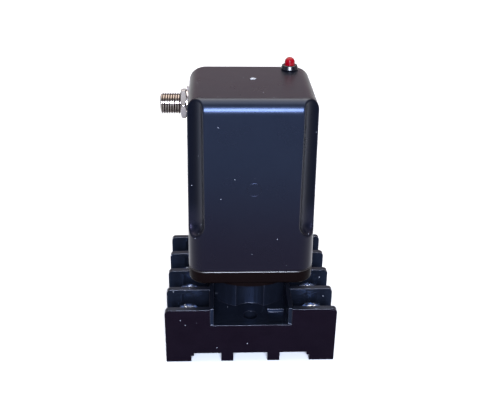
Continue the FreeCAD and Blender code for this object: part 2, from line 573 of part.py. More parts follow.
def build_capsule():
    """Two-part diaphragm capsule: pressure above the diaphragm, spring and pusher below."""
    spot = ("capsule_x", "capsule_y")
    top = turned("capsule_top_shell", [
        ("0", "capsule_top_z"), ("0", "capsule_top_z - 1.5"), ("8", "film_z + film_thick + 0.02"),
        ("capsule_r", "film_z + film_thick + 0.02"), ("capsule_r", "film_z + 2"),
        ("8.2", "film_z + 2"), ("6.5", "capsule_top_z")], spot)
    nipple = rod("nipple", "barb_r", spot, ("capsule_top_z - 0.5", "nipple_top"))
    inlet = rod("inlet", "port_bore", spot, ("film_z", "nipple_top + 1"))
    base = turned("capsule_base_shell", [
        ("stem_r + 0.05", "boss_z"), ("boss_outer", "boss_z"), ("boss_outer", "rim_z - 1"),
        ("capsule_r", "rim_z"), ("capsule_r", "film_z - 0.02"), ("8", "film_z - 0.02"),
        ("spring_room + 1", "step_z"), ("spring_room", "step_z"),
        ("spring_room", "floor_z"), ("stem_r + 0.05", "floor_z")], spot)
    angles = [45 + 90 * n for n in range(4)]
    spots = [(f"capsule_x + bolt_circle * cos({a})", f"capsule_y + bolt_circle * sin({a})") for a in angles]
    holes_top = [rod(f"bolt_hole_top_{n}", "bolt_r + 0.05", s, ("film_z", "capsule_top_z"))
                 for n, s in enumerate(spots)]
    holes_base = [rod(f"bolt_hole_base_{n}", "bolt_r + 0.05", s, ("rim_z - 2", "film_z + 1"))
                  for n, s in enumerate(spots)]
    holes_film = [rod(f"bolt_hole_film_{n}", "bolt_r + 0.05", s, ("film_z - 1", "film_z + 1"))
                  for n, s in enumerate(spots)]
    keep(cut("capsule_top", fuse("capsule_top_blank", top, nipple), inlet, *holes_top))
    keep(cut("capsule_base", base, *holes_base))
    film = turned("film_sheet", [
        ("0", "film_z"), ("fold_in", "film_z"), ("fold_mid", "film_z - fold_deep"), ("fold_out", "film_z"),
        ("capsule_r - 0.3", "film_z"), ("capsule_r - 0.3", "film_z + film_thick"),
        ("fold_out", "film_z + film_thick"), ("fold_mid", "film_z + film_thick - fold_deep"),
        ("fold_in", "film_z + film_thick"), ("0", "film_z + film_thick")], spot)
    keep(cut("diaphragm", film, *holes_film))
    bolts = []
    for n, s in enumerate(spots, 1):
        shank = rod(f"capsule_bolt_shank_{n}", "bolt_r", s, ("rim_z - 0.6", "film_z + 2.02"))
        head = rod(f"capsule_bolt_head_{n}", "bolt_r + 0.5", s, ("film_z + 2.02", "film_z + 3"))
        slot = box(f"capsule_bolt_slot_{n}", (f"{s[0]} - 2", f"{s[0]} + 2"),
                   (f"{s[1]} - 0.2", f"{s[1]} + 0.2"), ("film_z + 2.6", "film_z + 4"))
        bolts.append(cut(f"capsule_bolt_{n}", fuse(f"capsule_bolt_blank_{n}", shank, head), slot))
    keep(fuse("capsule_screws", *bolts))

    crown = rod("pusher_plate", "plate_r", spot, ("plate_z", "film_z - 0.3"))
    stem = rod("pusher_stem", "stem_r", spot, ("stem_tip + 1", "plate_z"))
    tip = cone("pusher_tip", ("0.4", "stem_r"), spot, ("stem_tip", "stem_tip + 1"))
    keep(fuse("pusher", crown, stem, tip))

    spring = doc.addObject("PartDesign::Body", "return_spring")
    section = new_sketch(spring, "spring_section", "XZ_Plane")
    section.addGeometry(Part.Circle(FreeCAD.Vector(value("coil_r"), 0, 0), FreeCAD.Vector(0, 0, 1),
                                    value("wire_r")), False)
    for kind, where, text in (("DistanceX", 3, "coil_r"), ("DistanceY", 3, "0")):
        index = section.addConstraint(Sketcher.Constraint(kind, -1, 1, 0, where, value(text)))
        section.setExpression(f"Constraints[{index}]", formula(text))
    index = section.addConstraint(Sketcher.Constraint("Radius", 0, value("wire_r")))
    section.setExpression(f"Constraints[{index}]", formula("wire_r"))
    coil = spring.newObject("PartDesign::AdditiveHelix", "spring_coil")
    coil.Profile = section
    coil.ReferenceAxis = (section, ["V_Axis"])
    coil.Mode = 0
    bind(coil, Pitch="coil_pitch", Height="plate_z - floor_z - 2 * wire_r - 0.1")
    keep(place(spring, *spot, "floor_z + wire_r + 0.05"))


def build_switch():
    """Snap switch under the pusher, with its lever, button and solder tabs."""
    low, high = "capsule_y - case_half", "capsule_y + case_half"
    case = box("case_block", ("case_left", "case_right"), (low, high), ("case_bottom", "case_top"))
    ears = [box(f"case_ear_{n}", ("case_left", "case_left + 1.9"), span, ("case_top - 0.5", "hinge_z + 0.8"))
            for n, span in enumerate(((low, f"{low} + ear_wide"), (f"{high} - ear_wide", high)), 1)]
    well = rod("button_well", "button_r + 0.06", ("button_x", "capsule_y"), ("case_top - 3", "case_top + 1"))
    eye = rod("ear_eye", "hinge_pin_r + 0.01", ("hinge_x", "hinge_z"), (f"{low} - 1", f"{high} + 1"), "y")
    bolt_x = ("case_bolt_x1", "case_bolt_x2")
    holes = [rod(f"case_bolt_hole_{n}", "case_bolt_r + 0.05", (x, "case_bolt_z"),
                 (f"{low} - 1", f"{high} + 1"), "y") for n, x in enumerate(bolt_x, 1)]
    keep(cut("switch_case", fuse("case_blank", case, *ears), well, eye, *holes))
    keep(rod("lever_pin", "hinge_pin_r", ("hinge_x", "hinge_z"), (low, high), "y"))

    arm = box("lever_arm", ("hinge_x", "lever_end"),
              ("capsule_y - lever_half", "capsule_y + lever_half"), ("lever_top - lever_thick", "lever_top"))
    roll = rod("lever_roll", "lever_top - hinge_z", ("hinge_x", "hinge_z"),
               ("capsule_y - lever_half", "capsule_y + lever_half"), "y")
    roll_eye = rod("lever_eye", "hinge_pin_r + 0.04", ("hinge_x", "hinge_z"), (low, high), "y")
    keep(cut("switch_lever", fuse("lever_blank", arm, roll), roll_eye))

    shaft = rod("button_shaft", "button_r", ("button_x", "capsule_y"),
                ("case_top - 1.8", "lever_top - lever_thick - 0.55"))
    nose = ball("button_nose", "button_r * 0.7",
                ("button_x", "capsule_y", "lever_top - lever_thick - 0.6"))
    keep(fuse("switch_button", shaft, nose))

    tabs = [box(f"tab_{n}", (f"{x} - tab_thin / 2", f"{x} + tab_thin / 2"),
                ("capsule_y - tab_wide / 2", "capsule_y + tab_wide / 2"),
                ("case_bottom - tab_long", "case_bottom"))
            for n, x in enumerate(("tab_x1", "tab_x2", "tab_x3"), 1)]
    keep(fuse("switch_tabs", *tabs))

    back = (high, f"{high} + sheet_thick")
    sides = ("sheet_left", "sheet_right")
    floor = "header_floor + 0.02"
    wall = box("bracket_wall", sides, back, (floor, "boss_z"))
    shelf = box("bracket_shelf", sides, ("capsule_y - 5", back[1]), ("boss_z - sheet_thick", "boss_z"))
    foot = box("bracket_foot", sides, (back[0], "foot_back"), (floor, f"{floor} + sheet_thick"))
    stem_gap = rod("bracket_stem_hole", "stem_r + 0.6", ("capsule_x", "capsule_y"),
                   ("boss_z - 3", "boss_z + 1"))
    wall_holes = [rod(f"bracket_wall_hole_{n}", "case_bolt_r + 0.05", (x, "case_bolt_z"), ("0", "6"), "y")
                  for n, x in enumerate(bolt_x, 1)]
    foot_x = ("foot_bolt_x1", "foot_bolt_x2")
    foot_holes = [rod(f"bracket_foot_hole_{n}", "foot_bolt_r + 0.1", (x, "foot_bolt_y"),
                      ("header_floor", "header_floor + 3")) for n, x in enumerate(foot_x, 1)]
    keep(cut("switch_bracket", fuse("bracket_blank", wall, shelf, foot), stem_gap, *wall_holes, *foot_holes))

    bolts = []
    for n, x in enumerate(bolt_x, 1):
        spot = (x, "case_bolt_z")
        bolts.append(rod(f"switch_bolt_shank_{n}", "case_bolt_r", spot,
                         (f"{low} - 0.02", f"{back[1]} + 1"), "y"))
        bolts.append(rod(f"switch_bolt_head_{n}", "case_bolt_r + 0.6", spot,
                         (f"{low} - 1.1", f"{low} - 0.02"), "y"))
    keep(fuse("switch_screws", *bolts))
    bolts = []
    seat = "header_floor + sheet_thick + 0.04"
    for n, x in enumerate(foot_x, 1):
        spot = (x, "foot_bolt_y")
        bolts.append(rod(f"bracket_bolt_shank_{n}", "foot_bolt_r", spot, ("header_floor - 2", seat)))
        bolts.append(rod(f"bracket_bolt_head_{n}", "foot_bolt_r + 0.65", spot, (seat, f"{seat} + 1.1")))
    keep(fuse("bracket_screws", *bolts))


def build_electrics():
    panel = box("board_blank", ("board_left", "board_right"), ("board_y", "board_y + board_thick"),
                ("board_low", "board_high"))
    pads = (("pad_x", "pad_low"), ("pad_x", "pad_high"), ("-tap_x", "tap_z"), ("tap_x", "tap_z"))
    lead_holes = [rod(f"board_hole_{n}", "wire_out_r + 0.05", pad, ("board_y - 1", "board_y + 3"), "y")
                  for n, pad in enumerate(pads, 1)]
    keep(cut("circuit_board", panel, *lead_holes))
    spot = ("pad_x", "board_y - 1.5")
    centre = "(pad_low + pad_high) / 2"
    body_span = (f"{centre} - resistor_half", f"{centre} + resistor_half")
    body = rod("resistor_body", "resistor_r", spot, body_span)
    wires = [rod("resistor_wire", "leg_r", spot, ("pad_low", "pad_high"))]
    wires += [rod(f"resistor_leg_{n}", "leg_r", ("pad_x", z), ("board_y - 1.5", "board_y + 1"), "y")
              for n, z in enumerate(("pad_low", "pad_high"), 1)]
    keep(fuse("resistor", body, *wires))

    low = "case_bottom - 1.8"
    above = "pin_head + 0.03"
    side = "capsule_y - 1.75"
    left, right, near, far = f"-{FAR_PIN[0]}", FAR_PIN[0], f"-{FAR_PIN[1]}", FAR_PIN[1]
    board = "board_y - 0.03"
    routes = [
        [("tab_x1", side, low), ("tab_x1", f"{side} - 3.45", low), (left, near, "wire_turn_z"),
         (left, near, above)],
        [("tab_x3", side, low), ("tab_x3", f"{side} - 1.85", low), (right, near, "wire_turn_z"),
         (right, near, above)],
        [("-tap_x", board, "tap_z"), (left, far, "tap_z"), (left, far, above)],
        [("tap_x", board, "tap_z"), (right, far, "tap_z"), (right, far, above)],
    ]
    wires = [route_tube(f"wire_{n}", route, "wire_out_r", 1.0) for n, route in enumerate(routes, 1)]
    keep(fuse("hookup_wires", *wires))

    start = "barb_end - 3.4"
    route = [(start, "port_y", "port_z"), ("capsule_x + 1", "port_y", "port_z"),
             ("capsule_x", "capsule_y", "nipple_top + 3.5"),
             ("capsule_x", "capsule_y", "capsule_top_z + 1.5")]
    keep(route_tube("pressure_tube", route, "tube_r", 3.2, "barb_r + 0.03"))


def check_and_write():
    """Stop on any feature that failed, then write each piece to its own file."""
    doc.recompute()
    for piece in doc.Objects:
        if {"Invalid", "Error"} & set(piece.State):
            raise RuntimeError(f"{piece.Name} did not compute: {piece.State}")
    os.makedirs("parts", exist_ok=True)
    for piece in nodes:
        shape = piece.Shape
        if shape.isNull() or not shape.isValid() or shape.Volume <= 0:
            raise RuntimeError(f"{piece.Label} is not a valid solid")
        shape.exportStep(f"parts/{piece.Label}.step")
        print(f"{piece.Label:20s} {len(shape.Solids):2d} solid(s) {shape.Volume:9.1f} mm3")


build_socket()
for terminal in terminals():
    build_terminal(*terminal)
build_header()
build_cover()
build_lamp()
build_port()
build_capsule()
build_switch()
build_electrics()
check_and_write()
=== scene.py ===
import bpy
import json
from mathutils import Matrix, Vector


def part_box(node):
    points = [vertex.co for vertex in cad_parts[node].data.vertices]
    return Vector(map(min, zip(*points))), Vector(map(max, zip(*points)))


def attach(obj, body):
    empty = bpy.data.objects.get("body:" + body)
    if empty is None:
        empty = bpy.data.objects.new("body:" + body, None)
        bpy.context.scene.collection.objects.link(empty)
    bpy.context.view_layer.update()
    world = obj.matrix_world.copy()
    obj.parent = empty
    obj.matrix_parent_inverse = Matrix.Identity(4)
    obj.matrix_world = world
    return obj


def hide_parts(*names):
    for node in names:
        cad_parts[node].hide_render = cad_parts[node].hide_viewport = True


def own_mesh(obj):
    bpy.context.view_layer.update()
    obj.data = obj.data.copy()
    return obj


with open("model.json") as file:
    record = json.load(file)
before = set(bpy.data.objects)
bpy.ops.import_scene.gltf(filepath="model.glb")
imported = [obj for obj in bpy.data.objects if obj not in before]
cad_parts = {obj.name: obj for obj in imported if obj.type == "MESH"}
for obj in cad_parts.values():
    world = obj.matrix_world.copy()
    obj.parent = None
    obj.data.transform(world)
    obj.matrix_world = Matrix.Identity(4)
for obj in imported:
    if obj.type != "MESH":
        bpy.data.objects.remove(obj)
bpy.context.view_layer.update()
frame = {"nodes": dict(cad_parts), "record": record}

import json
import logging
import math
from dataclasses import dataclass
from enum import Enum
from typing import Sequence

import bmesh
import bpy
import numpy as np
from mathutils import Matrix, Vector

LOG = logging.getLogger("pressure_switch")
MM = 0.001
# Where the painted shade in the cover's reflection tint changes, in millimetres: up the wall, above the
# flutes' ball ends, in from a corner, and out from the flute's lip. These spans and their tints are chosen
# for the look.
WALL_RISE = (30.0, 66.0)
FLUTE_RISE = (43.5, 50.0)
CORNER_LIP = (13.2, 13.4)
FLUTE_HOLLOW = (13.6, 15.5)
# A dust speck's full and outer radius, as shares of its cell, and its colour.
SPECK_RADII = (0.028, 0.045)
DUST_HUE = "#a9adb8"
# Level edges nearer to the part's axis than this many metres stay sharp.
BAND_REACH = 0.0165


# ---------------------------------------------------------------- colours and materials

def linear(hex_code: str) -> tuple[float, float, float, float]:
    """Turn an sRGB hex colour into Blender's linear colour.

    Args:
        hex_code: six hex digits, with or without a leading #.

    Returns:
        Red, green, blue and an alpha of one.
    """
    digits = hex_code.lstrip("#")
    parts = [int(digits[i:i + 2], 16) / 255 for i in (0, 2, 4)]
    lin = [c / 12.92 if c <= 0.04045 else ((c + 0.055) / 1.055) ** 2.4 for c in parts]
    return (lin[0], lin[1], lin[2], 1.0)


def add_node(tree: bpy.types.NodeTree, kind: str, settings: dict | None = None,
             links: dict | None = None) -> bpy.types.Node:
    """Add a node with its settings and links.

    Args:
        tree: the tree that gets the node.
        kind: the node's type name.
        settings: property or input, by name or by index, to value.
        links: input, by name or by index, to the output socket that feeds it.

    Returns:
        The new node.
    """
    node = tree.nodes.new(kind)
    for key, setting in (settings or {}).items():
        if isinstance(key, str) and hasattr(node, key):
            setattr(node, key, setting)
        else:
            node.inputs[key].default_value = setting
    for key, socket in (links or {}).items():
        tree.links.new(socket, node.inputs[key])
    return node


def blend(tree: bpy.types.NodeTree, amount: bpy.types.NodeSocket, first: str | bpy.types.NodeSocket,
          second: str | bpy.types.NodeSocket) -> bpy.types.NodeSocket:
    """Mix two colours by an amount from 0 to 1; each is an sRGB hex colour or a socket.

    Args:
        tree: the tree that gets the node.
        amount: the share of the second colour.
        first: the colour at 0.
        second: the colour at 1.

    Returns:
        The mixed colour.
    """
    settings, links = {"data_type": "RGBA"}, {0: amount}
    for index, colour in ((6, first), (7, second)):
        if isinstance(colour, str):
            settings[index] = linear(colour)
        else:
            links[index] = colour
    return add_node(tree, "ShaderNodeMix", settings, links).outputs[2]


def span(tree: bpy.types.NodeTree, value: bpy.types.NodeSocket, limits: tuple[float, float],
         ends: tuple[float, float] = (0.0, 1.0), kind: str = "SMOOTHSTEP") -> bpy.types.NodeSocket:
    """Map a value between two limits onto two ends.

    Args:
        tree: the tree that gets the node.
        value: the value to map.
        limits: where the change starts and stops.
        ends: what those limits give.
        kind: the node's interpolation.

    Returns:
        The mapped value.
    """
    return add_node(tree, "ShaderNodeMapRange", {
        "interpolation_type": kind, "From Min": limits[0], "From Max": limits[1], "To Min": ends[0],
        "To Max": ends[1]}, {"Value": value}).outputs["Result"]


def noise(tree: bpy.types.NodeTree, place: bpy.types.NodeSocket, size_mm: float,
          detail: float) -> bpy.types.NodeSocket:
    """Return a noise with features of about the given size in millimetres."""
    return add_node(tree, "ShaderNodeTexNoise", {"Scale": 1 / (size_mm * MM), "Detail": detail},
                    {"Vector": place}).outputs["Fac"]


def calculate(tree: bpy.types.NodeTree, operation: str,
              *values: bpy.types.NodeSocket) -> bpy.types.NodeSocket:
    """Return the result of a math node."""
    return add_node(tree, "ShaderNodeMath", {"operation": operation}, dict(enumerate(values))).outputs[0]


@dataclass(frozen=True)
class Finish:
    """A surface as it is made: its own colour, how it scatters light and its fine texture.

    The texture is a bump of one noise and a slow change of roughness from another, both sized in
    millimetres.
    """

    name: str
    hue: str
    rough: float
    metallic: float = 0.0
    ior: float = 1.5
    coat: float = 0.0
    grain_mm: float = 0.5
    grain_height_mm: float = 0.004
    cloud_mm: float = 9.0
    rough_change: float = 0.06
    second_hue: str | None = None
    hue_cloud_mm: float = 12.0
    dust: float = 0.0
    dust_cell_mm: float = 4.0
    stretch: tuple[float, float, float] = (1.0, 1.0, 1.0)
    transmission: float = 0.0
    specular: float = 0.5
    tint: str = "#ffffff"
    # Painted shade: reflection tints for low down and for the upright corner grooves.
    painted_low_shade_tint: str | None = None
    painted_groove_shade_tint: str | None = None

    def material(self) -> bpy.types.Material:
        """Return the material, built on its first use."""
        made = bpy.data.materials.get(self.name)
        return made or self._build()

    def _build(self) -> bpy.types.Material:
        """Build the node tree from the fields."""
        material = bpy.data.materials.new(self.name)
        material.use_nodes = True
        tree = material.node_tree
        shader = tree.nodes["Principled BSDF"]
        fixed = {"Base Color": linear(self.hue), "Metallic": self.metallic, "Coat Weight": self.coat,
                 "Coat Roughness": 0.08, "Transmission Weight": self.transmission,
                 "Specular IOR Level": self.specular, "Specular Tint": linear(self.tint)}
        if not self.metallic:
            fixed["IOR"] = self.ior
        for name, setting in fixed.items():
            shader.inputs[name].default_value = setting
        place = add_node(tree, "ShaderNodeTexCoord").outputs["Object"]
        spread = add_node(tree, "ShaderNodeMapping", {"Scale": self.stretch}, {"Vector": place})
        spread = spread.outputs["Vector"]

        low, high = max(self.rough - self.rough_change, 0.02), self.rough + self.rough_change
        rough = span(tree, noise(tree, spread, self.cloud_mm, 3.0), (0.3, 0.7), (low, high), "LINEAR")
        tree.links.new(rough, shader.inputs["Roughness"])
        bump = add_node(tree, "ShaderNodeBump", {"Strength": 1.0, "Distance": self.grain_height_mm * MM},
                        {"Height": noise(tree, spread, self.grain_mm, 4.0)})
        tree.links.new(bump.outputs["Normal"], shader.inputs["Normal"])
        self._colour(tree, shader, place)
        # Painted shade in the reflection tint, low down and in the corner grooves.
        if self.painted_low_shade_tint:
            self._paint_reflection_shade(tree, shader, place)
        return material

    def _paint_reflection_shade(self, tree: bpy.types.NodeTree, shader: bpy.types.Node, place: bpy.types.NodeSocket) -> None:
        """Link the tint of the reflection: painted shade makes it dimmer low down and darker in the upright
        corner grooves.

        Args:
            tree: the material's tree.
            shader: its Principled shader.
            place: the object coordinates.
        """
        split = add_node(tree, "ShaderNodeSeparateXYZ", {}, {"Vector": place})
        side, depth = (calculate(tree, "ABSOLUTE", split.outputs[axis]) for axis in ("X", "Y"))
        both = calculate(tree, "MINIMUM", side, depth)
        rise, above, corner, outward = (span(tree, value, (low * MM, high * MM)) for value, (low, high) in (
            (split.outputs["Z"], WALL_RISE), (split.outputs["Z"], FLUTE_RISE), (both, CORNER_LIP),
            (side, FLUTE_HOLLOW)))
        # Where the painted groove shade falls: above the ball ends, near a corner, out past the flute's lip.
        groove = calculate(tree, "MULTIPLY", calculate(tree, "MULTIPLY", above, corner), outward)
        tint = blend(tree, groove, blend(tree, rise, self.painted_low_shade_tint, self.tint), self.painted_groove_shade_tint)
        tree.links.new(tint, shader.inputs["Specular Tint"])

    def _colour(self, tree: bpy.types.NodeTree, shader: bpy.types.Node, place: bpy.types.NodeSocket) -> None:
        """Link the colour where it changes: a slow second hue, and dust as small pale specks.

        Args:
            tree: the material's tree.
            shader: its Principled shader.
            place: the object coordinates.
        """
        if self.second_hue is None and not self.dust:
            return
        tone = noise(tree, place, self.hue_cloud_mm, 4.0)
        colour = blend(tree, tone, self.hue, self.second_hue or self.hue)
        if self.dust:
            cells = add_node(tree, "ShaderNodeTexVoronoi", {"Scale": 1 / (self.dust_cell_mm * MM)},
                             {"Vector": place})
            speck = span(tree, cells.outputs["Distance"], SPECK_RADII, (self.dust, 0.0), "LINEAR")
            colour = blend(tree, speck, colour, DUST_HUE)
        tree.links.new(colour, shader.inputs["Base Color"])


# Injection-moulded ABS from a polished mould: a deep blue black with soft long highlights, faint
# orange peel and the dust that such a cover collects.
# Its reflection tint carries painted shade: dimmer and violet low down, dark grey in the flutes.
COVER_ABS = Finish("polished_black_abs", "#020307", 0.29, ior=1.53, grain_mm=0.8, grain_height_mm=0.0008,
                   cloud_mm=7, rough_change=0.025, second_hue="#040509", dust=0.42, dust_cell_mm=2.6,
                   specular=0.2, tint="#b0c8ff", painted_low_shade_tint="#9c84a4", painted_groove_shade_tint="#40404c")
# The same resin from an unpolished mould half: browner and duller, as a plug base is.
HEADER_ABS = Finish("satin_black_abs", "#020101", 0.36, ior=1.53, grain_mm=0.35, grain_height_mm=0.003,
                    second_hue="#040202", dust=0.3, specular=0.02, tint="#ffd8e8")
# The same resin on the softened edges: a paler, glossier copy, a painted sheen that makes them show bright
# lines.
HEADER_EDGE_SHEEN = Finish("black_abs_painted_edge_sheen", "#060405", 0.3, ior=1.53, grain_mm=0.35, grain_height_mm=0.002,
                     second_hue="#0a0708", specular=0.3)
# Mineral-filled PBT from a polished mould part: a cool black with a fine grain.
SOCKET_PBT = Finish("moulded_black_pbt", "#030407", 0.34, ior=1.56, grain_mm=0.3, grain_height_mm=0.004,
                    cloud_mm=4, rough_change=0.06, second_hue="#05060a", hue_cloud_mm=3, dust=0.5,
                    dust_cell_mm=3.2, specular=0.14, tint="#9cbcff")
# Its outer walls, from a spark-eroded mould part: duller and a warmer, violet black.
SOCKET_SKIN = Finish("textured_black_pbt", "#020103", 0.4, ior=1.56, grain_mm=0.3, grain_height_mm=0.006,
                     cloud_mm=4, rough_change=0.08, second_hue="#040205", hue_cloud_mm=3, dust=0.5,
                     dust_cell_mm=3.2, specular=0.035, tint="#e2c8ff")
# Its softened edges: a paler, glossier copy, a painted sheen that makes them show bright lines.
SOCKET_EDGE_SHEEN = Finish("black_pbt_painted_edge_sheen", "#07060a", 0.3, ior=1.56, grain_mm=0.4, grain_height_mm=0.002,
                     second_hue="#0a080d", specular=0.6, tint="#dfe8ff")
# Bright zinc plate on steel: silver with a slight blue, mottled by handling.
SCREW_ZINC = Finish("zinc_plated_steel_screw", "#d5d8dc", 0.22, metallic=1.0, grain_mm=0.4,
                    grain_height_mm=0.01, cloud_mm=1.2, rough_change=0.1, second_hue="#b7bcc6",
                    hue_cloud_mm=1.5)
CLAMP_ZINC = Finish("zinc_plated_steel_clamp", "#c6cbd2", 0.3, metallic=1.0, grain_mm=0.5,
                    grain_height_mm=0.012, cloud_mm=1.5, rough_change=0.1, second_hue="#9ba3b0",
                    hue_cloud_mm=2.0)
# Tinned brass strip, a little darker where it is handled.
STRIP_TIN = Finish("tinned_brass_strip", "#b9b3a2", 0.33, metallic=1.0, second_hue="#8f8468", hue_cloud_mm=3)
# Bright nickel plate over turned brass: warm silver that picks up its surroundings.
PORT_NICKEL = Finish("nickel_plated_brass", "#6b625c", 0.2, metallic=1.0, grain_mm=0.25,
                     grain_height_mm=0.003, cloud_mm=1.5, rough_change=0.06, second_hue="#77716f",
                     hue_cloud_mm=1.5)
# The same plate on the rolled flats of the nut and on the stamped washer: brighter and cooler.
NUT_NICKEL = Finish("nickel_plated_steel", "#a09a98", 0.2, metallic=1.0, grain_mm=0.3,
                    grain_height_mm=0.003, second_hue="#8f8c90", hue_cloud_mm=2.0)
PIN_NICKEL = Finish("nickel_plated_plug_pin", "#cfc9b6", 0.2, metallic=1.0, second_hue="#b9ad8d")
# Red diffused epoxy, cast in a polished cup: saturated, with a hard bright glint.
LAMP_EPOXY = Finish("cast_red_epoxy", "#560008", 0.1, ior=1.5, coat=0.12, grain_mm=0.6,
                    grain_height_mm=0.0006, rough_change=0.02, second_hue="#460005", hue_cloud_mm=1.0,
                    specular=0.06)
BEZEL_NYLON = Finish("moulded_black_nylon", "#040407", 0.26, ior=1.53, grain_mm=0.4,
                     grain_height_mm=0.002, second_hue="#07070a", specular=0.2)
SEAL_NITRILE = Finish("moulded_black_nitrile", "#151515", 0.62, ior=1.52, second_hue="#1d1c1c")
CAPSULE_ALUMINIUM = Finish("turned_aluminium", "#cfd1d3", 0.3, metallic=1.0, grain_mm=0.2,
                           stretch=(1.0, 1.0, 6.0), second_hue="#bfc2c4")
SMALL_SCREW = Finish("zinc_plated_small_screw", "#c9ccd0", 0.26, metallic=1.0, second_hue="#adb2ba")
BRACKET_STEEL = Finish("zinc_plated_sheet_steel", "#b9bec2", 0.36, metallic=1.0, second_hue="#a2a8a4",
                       hue_cloud_mm=4)
SPRING_STEEL = Finish("drawn_spring_steel", "#8f9399", 0.28, metallic=1.0, second_hue="#7b7f86")
ACETAL = Finish("moulded_white_acetal", "#e6e3da", 0.4, ior=1.48, second_hue="#dedad0")
SWITCH_CASE = Finish("moulded_grey_phenolic", "#2b2d33", 0.5, ior=1.56, second_hue="#232529")
TAB_SILVER = Finish("silver_plated_tab", "#d6d3cb", 0.24, metallic=1.0, second_hue="#bcb6a8")
BOARD = Finish("green_solder_mask", "#1c5a34", 0.36, ior=1.5, coat=0.3, second_hue="#174d2c", hue_cloud_mm=5)
RESISTOR_LACQUER = Finish("baked_resistor_lacquer", "#b99a6a", 0.34, ior=1.5, second_hue="#a98a5c")
WIRE_PVC = Finish("extruded_pvc", "#a11d1b", 0.42, ior=1.52, second_hue="#8d1817")
TUBE_SILICONE = Finish("extruded_silicone", "#d9d4c6", 0.45, ior=1.41, second_hue="#cdc7b7")
GATE_SCAR = Finish("torn_gate_plastic", "#7c7f84", 0.6, ior=1.53, grain_mm=0.3, grain_height_mm=0.05,
                   second_hue="#2c2e34", hue_cloud_mm=0.5)
# Matt paper. Its own tone is a mid grey, and the strong light makes it read white.
PAPER_FLOOR = Finish("white_paper_sweep", "#969696", 0.85, ior=1.45, specular=0.1, second_hue="#959595",
                     hue_cloud_mm=150, grain_mm=2, grain_height_mm=0.01)


# ---------------------------------------------------------------- mesh helpers

class Axis(Enum):
    """A direction that a turned piece lies along, with the two directions across it."""

    X = (Vector((1, 0, 0)), Vector((0, 1, 0)), Vector((0, 0, 1)))
    Y = (Vector((0, 1, 0)), Vector((0, 0, 1)), Vector((1, 0, 0)))
    Z = (Vector((0, 0, 1)), Vector((1, 0, 0)), Vector((0, 1, 0)))


def add_object(name: str, data: bpy.types.ID) -> bpy.types.Object:
    """Make an object with the given data and link it to the scene."""
    made = bpy.data.objects.new(name, data)
    bpy.context.scene.collection.objects.link(made)
    return made


def shade(mesh: bpy.types.Mesh, degrees: float) -> None:
    """Smooth a mesh except at edges that turn by more than the given angle."""
    mesh.shade_smooth()
    mesh.set_sharp_from_angle(angle=math.radians(degrees))


def join_into(body: bpy.types.Mesh, extra: bpy.types.Mesh) -> None:
    """Add the faces of another mesh to a mesh.

    Args:
        body: the mesh that grows.
        extra: the mesh whose faces are copied.
    """
    joined = bmesh.new()
    joined.from_mesh(body)
    joined.from_mesh(extra)
    joined.to_mesh(body)
    joined.free()


def mesh_from(name: str, points: Sequence, faces: Sequence) -> bpy.types.Mesh:
    """Make a smooth mesh whose faces point outwards.

    Args:
        name: the mesh's name.
        points: corners in metres.
        faces: corner numbers of each face.

    Returns:
        The mesh, with sharp edges marked where faces meet at more than 40 degrees.
    """
    mesh = bpy.data.meshes.new(name)
    mesh.from_pydata([tuple(p) for p in points], [], [tuple(f) for f in faces])
    work = bmesh.new()
    work.from_mesh(mesh)
    bmesh.ops.remove_doubles(work, verts=work.verts, dist=1e-7)
    bmesh.ops.recalc_face_normals(work, faces=work.faces)
    work.to_mesh(mesh)
    work.free()
    shade(mesh, 40)
    return mesh


def lathe(name: str, profile: Sequence[tuple[float, float]], centre: Vector, axis: Axis,
          segments: int = 64) -> bpy.types.Mesh:
    """Turn a closed profile about an axis.

    Args:
        name: the mesh's name.
        profile: (radius, distance along the axis) corners in millimetres, in order round the section.
        centre: a point on the axis in metres.
        axis: the direction of the axis.
        segments: how many steps make the circle.

    Returns:
        The turned mesh.
    """
    along, across, up = axis.value
    points, faces = [], []
    for step in range(segments):
        angle = 2 * math.pi * step / segments
        out = across * math.cos(angle) + up * math.sin(angle)
        points.extend(centre + out * (r * MM) + along * (h * MM) for r, h in profile)
    count = len(profile)
    for step in range(segments):
        here, after = step * count, (step + 1) % segments * count
        for k in range(count):
            nxt = (k + 1) % count
            if profile[k][0] < 1e-6 and profile[nxt][0] < 1e-6:
                continue
            faces.append((here + k, here + nxt, after + nxt, after + k))
    return mesh_from(name, points, faces)


def arc(centre: tuple[float, float], radius: float, start: float, end: float,
        steps: int = 6) -> list[tuple[float, float]]:
    """Return points on an arc, angles in degrees from the first coordinate's direction."""
    angles = [math.radians(start + (end - start) * k / steps) for k in range(steps + 1)]
    return [(centre[0] + radius * math.cos(a), centre[1] + radius * math.sin(a)) for a in angles]


def piece_from(mesh: bpy.types.Mesh, name: str, finish: Finish, body: str,
               nodes: Sequence[str] = (), others: Sequence[Finish] = ()) -> bpy.types.Object:
    """Make a finished piece that rides on a body.

    Args:
        mesh: its mesh, already in place.
        name: the piece's name.
        finish: its surface.
        body: the body it moves with.
        nodes: the CAD nodes that it stands for.
        others: finishes of the faces whose material index is 1 and more.

    Returns:
        The object.
    """
    piece = add_object(name, mesh)
    kept = [face.material_index if others else 0 for face in mesh.polygons]
    mesh.materials.clear()
    for part in (finish, *others):
        mesh.materials.append(part.material())
    for face, index in zip(mesh.polygons, kept):
        face.material_index = index
    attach(piece, body)
    if nodes:
        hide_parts(*nodes)
    LOG.info("%s: %d faces on %s", name, len(mesh.polygons), body)
    return piece


def applied(source: bpy.types.Object, name: str) -> bpy.types.Mesh:
    """Turn an object with its modifiers into a plain mesh and remove the object.

    Args:
        source: the object, which is removed.
        name: the new mesh's name.

    Returns:
        The plain mesh.
    """
    bpy.context.view_layer.update()
    graph = bpy.context.evaluated_depsgraph_get()
    mesh = bpy.data.meshes.new_from_object(source.evaluated_get(graph), depsgraph=graph)
    mesh.name = name
    source.modifiers.clear()
    bpy.data.objects.remove(source)
    return mesh


